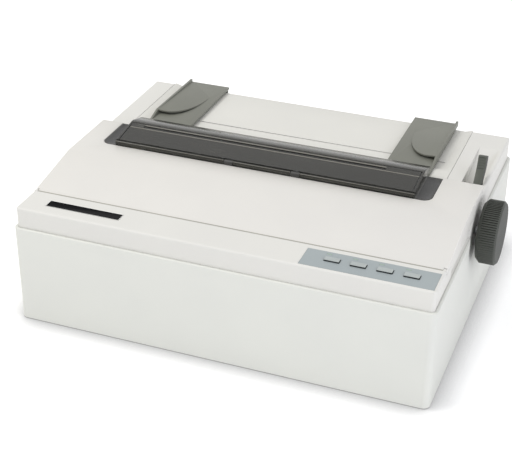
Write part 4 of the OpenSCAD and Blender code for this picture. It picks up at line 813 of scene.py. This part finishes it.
@dataclass
class Controls:
    """Panel, keys, lamps, badge, knob and lever."""

    panel_edge_mm: float = 0.15
    cap_height_mm: float = 3.6
    cap_corner_mm: float = 0.7
    cap_border_mm: float = 0.8
    cap_dish_mm: float = 0.2
    cap_edge_mm: float = 0.22
    stem_mm: float = 4.0
    badge_corner_mm: float = 0.6
    badge_edge_mm: float = 0.1
    rim_mm: float = 0.6
    rim_depth_mm: float = 0.2
    lens_mm: float = 4.8
    lens_corner_mm: float = 0.35
    lens_border_mm: float = 0.2
    lens_dish_mm: float = 0.02
    lens_edge_mm: float = 0.18
    groove_mm: float = 0.2
    grip_edge_mm: float = 0.15
    grip_angle: float = 50
    lever_edge_mm: float = 0.4
    # where a finish changes, by how far a face's normal points along an axis
    skirt_limit: float = 0.4
    rim_limit: float = 0.5
    lever_limit: float = 0.8
    knob_limit: float = 0.9

    def keys(self) -> None:
        """Model one key cap with its dished top and its stem, and copy it along the row."""
        low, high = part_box("button_1")
        base = high.z - self.cap_height_mm * MM
        border = self.cap_border_mm * MM
        key = cube_between("key_cap_1", Vector((low.x, low.y, base)), high)
        round_uprights(key, self.cap_corner_mm)
        with editing(key):
            facing(key, 1)
            bpy.ops.mesh.inset(thickness=border)
            lift(-self.cap_dish_mm)
            facing(key, -1)
            bpy.ops.mesh.inset(thickness=border)
            wide, deep = high.x - low.x - 2 * border, high.y - low.y - 2 * border
            centre = Vector(((low.x + high.x) / 2, (low.y + high.y) / 2, base))
            bpy.ops.mesh.extrude_region_move(TRANSFORM_OT_translate={"value": (0, 0, 0)})
            bpy.ops.transform.resize(
                value=(self.stem_mm * MM / wide, self.stem_mm * MM / deep, 1), center_override=centre)
            bpy.ops.mesh.extrude_region_move(TRANSFORM_OT_translate={"value": (0, 0, low.z - base)})
        soften(key, self.cap_edge_mm)
        caps = [key]
        for number in range(2, KEY_COUNT + 1):
            place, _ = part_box(f"button_{number}")
            caps.append(twin_at(key, f"key_cap_{number}", Vector((place.x - low.x, 0, 0))))
        for number, cap in enumerate(caps, 1):
            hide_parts(f"button_{number}")
            settle(cap, f"key_{number}", f"button_{number}", Part.KEY, Part.KEY_SKIRT)
            mark(cap, Part.KEY_SKIRT, lambda face: abs(face.normal.z) < self.skirt_limit)

    def badge(self) -> None:
        """Model the bare badge: a sunk black field inside a thin bright rim."""
        low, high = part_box("badge_plate")
        badge = cube_between("badge_blank", low, high)
        round_uprights(badge, self.badge_corner_mm)
        with editing(badge):
            facing(badge, 1)
            bpy.ops.mesh.inset(thickness=self.rim_mm * MM)
            lift(-self.rim_depth_mm)
        soften(badge, self.badge_edge_mm, segments=1)
        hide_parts("badge_plate")
        settle(badge, "case", "badge_plate", Part.BADGE, Part.RIM)
        inner = self.rim_mm * MM * 0.98     # a little short of the rim's inner wall

        def on_rim(face: Face) -> bool:
            """Tell whether a face is on top of the rim."""
            centre = face.calc_center_median()
            return face.normal.z > self.rim_limit and not (
                low.x + inner < centre.x < high.x - inner and low.y + inner < centre.y < high.y - inner)

        mark(badge, Part.RIM, on_rim)

    def lamps(self) -> None:
        """Model one lamp lens with well rounded edges and copy it along the row."""
        low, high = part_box("panel_lamps")
        size = self.lens_mm * MM
        lens = cube_between("lamp_lens", low, Vector((low.x + size, high.y, high.z)))
        round_uprights(lens, self.lens_corner_mm)
        with editing(lens):
            facing(lens, 1)
            bpy.ops.mesh.inset(thickness=self.lens_border_mm * MM)
            lift(-self.lens_dish_mm)
        soften(lens, self.lens_edge_mm, segments=3)
        step = (high.x - low.x - size) / (KEY_COUNT - 1)
        twins = [twin_at(lens, f"lens_{k}", Vector((k * step, 0, 0))) for k in range(1, KEY_COUNT)]
        lamps = join_all("lamp_lenses", [lens, *twins])
        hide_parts("panel_lamps")
        settle(lamps, "case", "panel_lamps", Part.LAMP)

    def knob(self) -> None:
        """Build the platen knob, with a plain face and the lower flanks of its grooves in shade."""
        knob = softened_copy(
            "platen_knob", "platen_knob_moulding", self.grip_edge_mm,
            segments=1, angle=self.grip_angle)
        settle(knob, "platen_drive", "platen_knob",
               Part.KNOB, Part.KNOB, Part.KNOB_FACE, Part.KNOB_GROOVE)
        mark(knob, Part.KNOB_FACE, lambda face: face.normal.x > self.knob_limit)
        low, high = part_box("platen_knob")
        axis = (low + high) / 2
        inner = (high.z - low.z) / 2 - self.groove_mm * MM
        # a flank is no end face, lies between root and crest, and leans down from straight out
        end_limit, root, lean = 0.3, 0.9 * inner, 0.1

        def shaded_flank(face: Face) -> bool:
            """Tell whether a face is the lower flank of a grip groove."""
            out = face.calc_center_median() - axis
            out.x = 0
            in_groove = abs(face.normal.x) < end_limit and root < out.length < inner
            return in_groove and face.normal.z < out.normalized().z - lean

        mark(knob, Part.KNOB_GROOVE, shaded_flank)

    def build(self) -> None:
        """Build what the user sees and touches at the front and right."""
        panel = softened_copy(
            "control_panel", "control_panel_plate", self.panel_edge_mm, segments=1)
        settle(panel, "case", "control_panel", Part.PANEL, Part.PANEL)
        self.keys()
        self.badge()
        self.lamps()
        self.knob()
        lever = softened_copy("select_lever", "select_lever_moulding", self.lever_edge_mm)
        settle(lever, "lever", "select_lever", Part.LEVER, Part.LEVER, Part.LEVER_SIDE)
        mark(lever, Part.LEVER_SIDE, lambda face: face.normal.x > self.lever_limit)


@dataclass
class Inside:
    """The nodes that keep their own shape and get only their finish."""

    finishes: dict[str, Part] = field(default_factory=lambda: {
        "case_screws": Part.BRIGHT_STEEL, "cover_pins": Part.BRIGHT_STEEL, "table_pins": Part.BRIGHT_STEEL,
        "pinch_frame": Part.STEEL, "pinch_rollers": Part.RUBBER,
        "chassis_plate": Part.STEEL, "side_frame_left": Part.STEEL, "side_frame_right": Part.STEEL,
        "platen_bushes": Part.BUSH, "paper_pan": Part.STEEL, "platen": Part.RUBBER,
        "platen_shaft": Part.BRIGHT_STEEL, "platen_gear": Part.GEAR, "feed_motor": Part.MOTOR,
        "motor_pinion": Part.BRASS, "idler_gear": Part.GEAR, "tractor_idler": Part.GEAR,
        "gear_studs": Part.BRIGHT_STEEL, "tractor_shaft": Part.BRIGHT_STEEL, "tractor_gear": Part.GEAR,
        "tractor_left": Part.TRACTOR, "tractor_right": Part.TRACTOR, "sprocket_left": Part.GEAR,
        "sprocket_right": Part.GEAR, "bail": Part.BRIGHT_STEEL, "bail_rollers": Part.RUBBER,
        "guide_rods": Part.BRIGHT_STEEL, "carriage_rail": Part.STEEL, "carriage": Part.CARRIAGE,
        "print_head": Part.ALUMINIUM, "ribbon_cartridge": Part.CARTRIDGE, "ribbon_knob": Part.WINDER,
        "carriage_motor": Part.MOTOR, "motor_pulley": Part.BRASS, "idler_post": Part.STEEL,
        "idler_pulley": Part.BRASS, "carriage_belt": Part.BELT, "main_board": Part.BOARD,
        "power_supply": Part.SUPPLY, "power_inlet": Part.INLET, "power_switch": Part.INLET,
        "parallel_port": Part.STEEL,
    })

    def build(self, nodes: dict[str, Piece]) -> None:
        """Dress every node that no modelled piece stands for."""
        for name, part in self.finishes.items():
            dress(nodes[name], part)
            log.info("%s keeps its shape", name)


# ---------------------------------------------------------------- studio


@dataclass
class Studio:
    """Pale floor, soft lamps and the camera."""

    azimuth: float = 20.77
    elevation: float = 29.89
    roll: float = 0.37
    distance: float = 1.2958
    target: tuple[float, float, float] = (-0.02623, -0.01647, 0.060)
    lens_mm: float = 89.24
    sensor_mm: float = 36.0
    shift: tuple[float, float] = (0.0016, -0.0014)
    floor_size: float = 8.0
    floor_colour: str = "FBFBFB"
    room_light: float = 0.68        # even light that falls on the printer from all round
    floor_lift: float = 0.3         # glow that makes the seen floor white
    painted_shadow_mm: float = 30.0         # how far the painted contact shadow under the case reaches
    contact_shade_power: float = 1.5            # how dark that painted shadow is; 1 is plain occlusion

    def camera(self) -> None:
        """Put the camera at a raised three-quarter angle in front of the printer."""
        azimuth, elevation = math.radians(self.azimuth), math.radians(self.elevation)
        back = Vector((
            math.sin(azimuth) * math.cos(elevation),
            -math.cos(azimuth) * math.cos(elevation),
            math.sin(elevation)))
        data = bpy.data.cameras.new("camera")
        data.lens, data.sensor_width = self.lens_mm, self.sensor_mm
        data.shift_x, data.shift_y = self.shift
        camera = bpy.data.objects.new("camera", data)
        camera.location = Vector(self.target) + back * self.distance
        camera.rotation_euler = (-back).to_track_quat("-Z", "Y").to_euler()
        camera.rotation_euler.rotate_axis("Z", math.radians(self.roll))
        bpy.context.scene.collection.objects.link(camera)
        bpy.context.scene.camera = camera

    def lamp(
        self, name: str, place: tuple[float, float, float], size: float, power: float, colour: str
    ) -> None:
        """Add one square soft lamp that faces the printer.

        Args:
            name: the lamp's name.
            place: where its centre is, in metres.
            size: its side, in metres; a wide lamp gives soft shadows.
            power: its power, in watts.
            colour: its colour, as an sRGB hex value.
        """
        data = bpy.data.lights.new(name, "AREA")
        data.size, data.energy, data.color = size, power, linear(colour)[:3]
        lamp = bpy.data.objects.new(name, data)
        lamp.location = place
        lamp.rotation_euler = (-Vector(place)).to_track_quat("-Z", "Y").to_euler()
        bpy.context.scene.collection.objects.link(lamp)

    def seen(self, tree: Tree, unseen: float, seen: float) -> Socket:
        """Give one value to rays that see the backdrop and another to those that light the printer.

        Args:
            tree: the node tree to add to.
            unseen: the value for rays that only carry light.
            seen: the value for rays that are seen, straight, in a gloss or through the hood.

        Returns:
            The socket that holds the value.
        """
        path = add_node(tree, "ShaderNodeLightPath", (-900, 0)).outputs
        direct = add_node(
            tree, "ShaderNodeMath", (-700, 0), settings={"operation": "MAXIMUM"},
            links={0: path["Is Camera Ray"], 1: path["Is Glossy Ray"]})
        any_sight = add_node(
            tree, "ShaderNodeMath", (-500, 0), settings={"operation": "MAXIMUM"},
            links={0: direct.outputs["Value"], 1: path["Is Transmission Ray"]})
        return add_node(
            tree, "ShaderNodeMapRange", (-300, 0), values={"To Min": unseen, "To Max": seen},
            links={"Value": any_sight.outputs["Value"]}).outputs["Result"]

    def floor(self) -> None:
        """Lay a pale floor that shows white to the camera, keeps the lamps' shadow of the printer and adds
        a painted contact shadow under the case.
        """
        deselect_all()
        bpy.ops.mesh.primitive_plane_add(size=self.floor_size, location=(0, 0, 0))
        floor = bpy.context.object
        floor.name = "floor"
        material = bpy.data.materials.new("white_paper_sweep")
        material.use_nodes = True
        tree = material.node_tree
        shader = tree.nodes["Principled BSDF"]
        near = add_node(
            tree, "ShaderNodeAmbientOcclusion", (-700, 300), settings={"samples": AO_SAMPLES},
            values={"Distance": self.painted_shadow_mm * MM})
        # painted contact shadow: only what is seen darkens where the case meets the floor; the light it
        # returns does not
        contact_shade_power = add_node(
            tree, "ShaderNodeMath", (-550, 300), settings={"operation": "POWER"},
            links={0: near.outputs["AO"], 1: self.seen(tree, 0.0, self.contact_shade_power)})
        paper = add_node(
            tree, "ShaderNodeVectorMath", (-400, 300), settings={"operation": "SCALE"},
            values={"Vector": linear(self.floor_colour)[:3]}, links={"Scale": contact_shade_power.outputs["Value"]})
        tree.links.new(paper.outputs["Vector"], shader.inputs["Base Color"])
        tree.links.new(self.seen(tree, 0.0, self.floor_lift), shader.inputs["Emission Strength"])
        shader.inputs["Emission Color"].default_value = (1, 1, 1, 1)
        shader.inputs["Roughness"].default_value = 0.9
        shader.inputs["Specular IOR Level"].default_value = 0.0
        floor.data.materials.append(material)

    def world(self) -> None:
        """Surround the printer with even white light, and show pure white behind it."""
        world = bpy.data.worlds.new("white_room")
        world.use_nodes = True
        tree = world.node_tree
        background = tree.nodes["Background"]
        background.inputs["Color"].default_value = (1, 1, 1, 1)
        tree.links.new(self.seen(tree, self.room_light, 1.0), background.inputs["Strength"])
        bpy.context.scene.world = world

    def build(self) -> None:
        """Set up the whole studio: a warm key lamp at the left, a cool fill at the right."""
        bpy.context.scene.view_settings.view_transform = "Standard"
        self.camera()
        self.floor()
        self.world()
        self.lamp("key", (-1.1, -0.55, 1.8), size=1.0, power=15.0, colour="FFFDF9")
        self.lamp("fill", (1.4, -0.9, 0.7), size=1.2, power=8.0, colour="EEF1FF")


def main() -> None:
    """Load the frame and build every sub-assembly."""
    logging.basicConfig(level=logging.INFO, format="%(message)s")
    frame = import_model()
    Studio().build()
    Casework().build()
    TopCovers().build()
    RearTable().build()
    Controls().build()
    Inside().build(frame["nodes"])


if __name__ == "__main__":
    main()
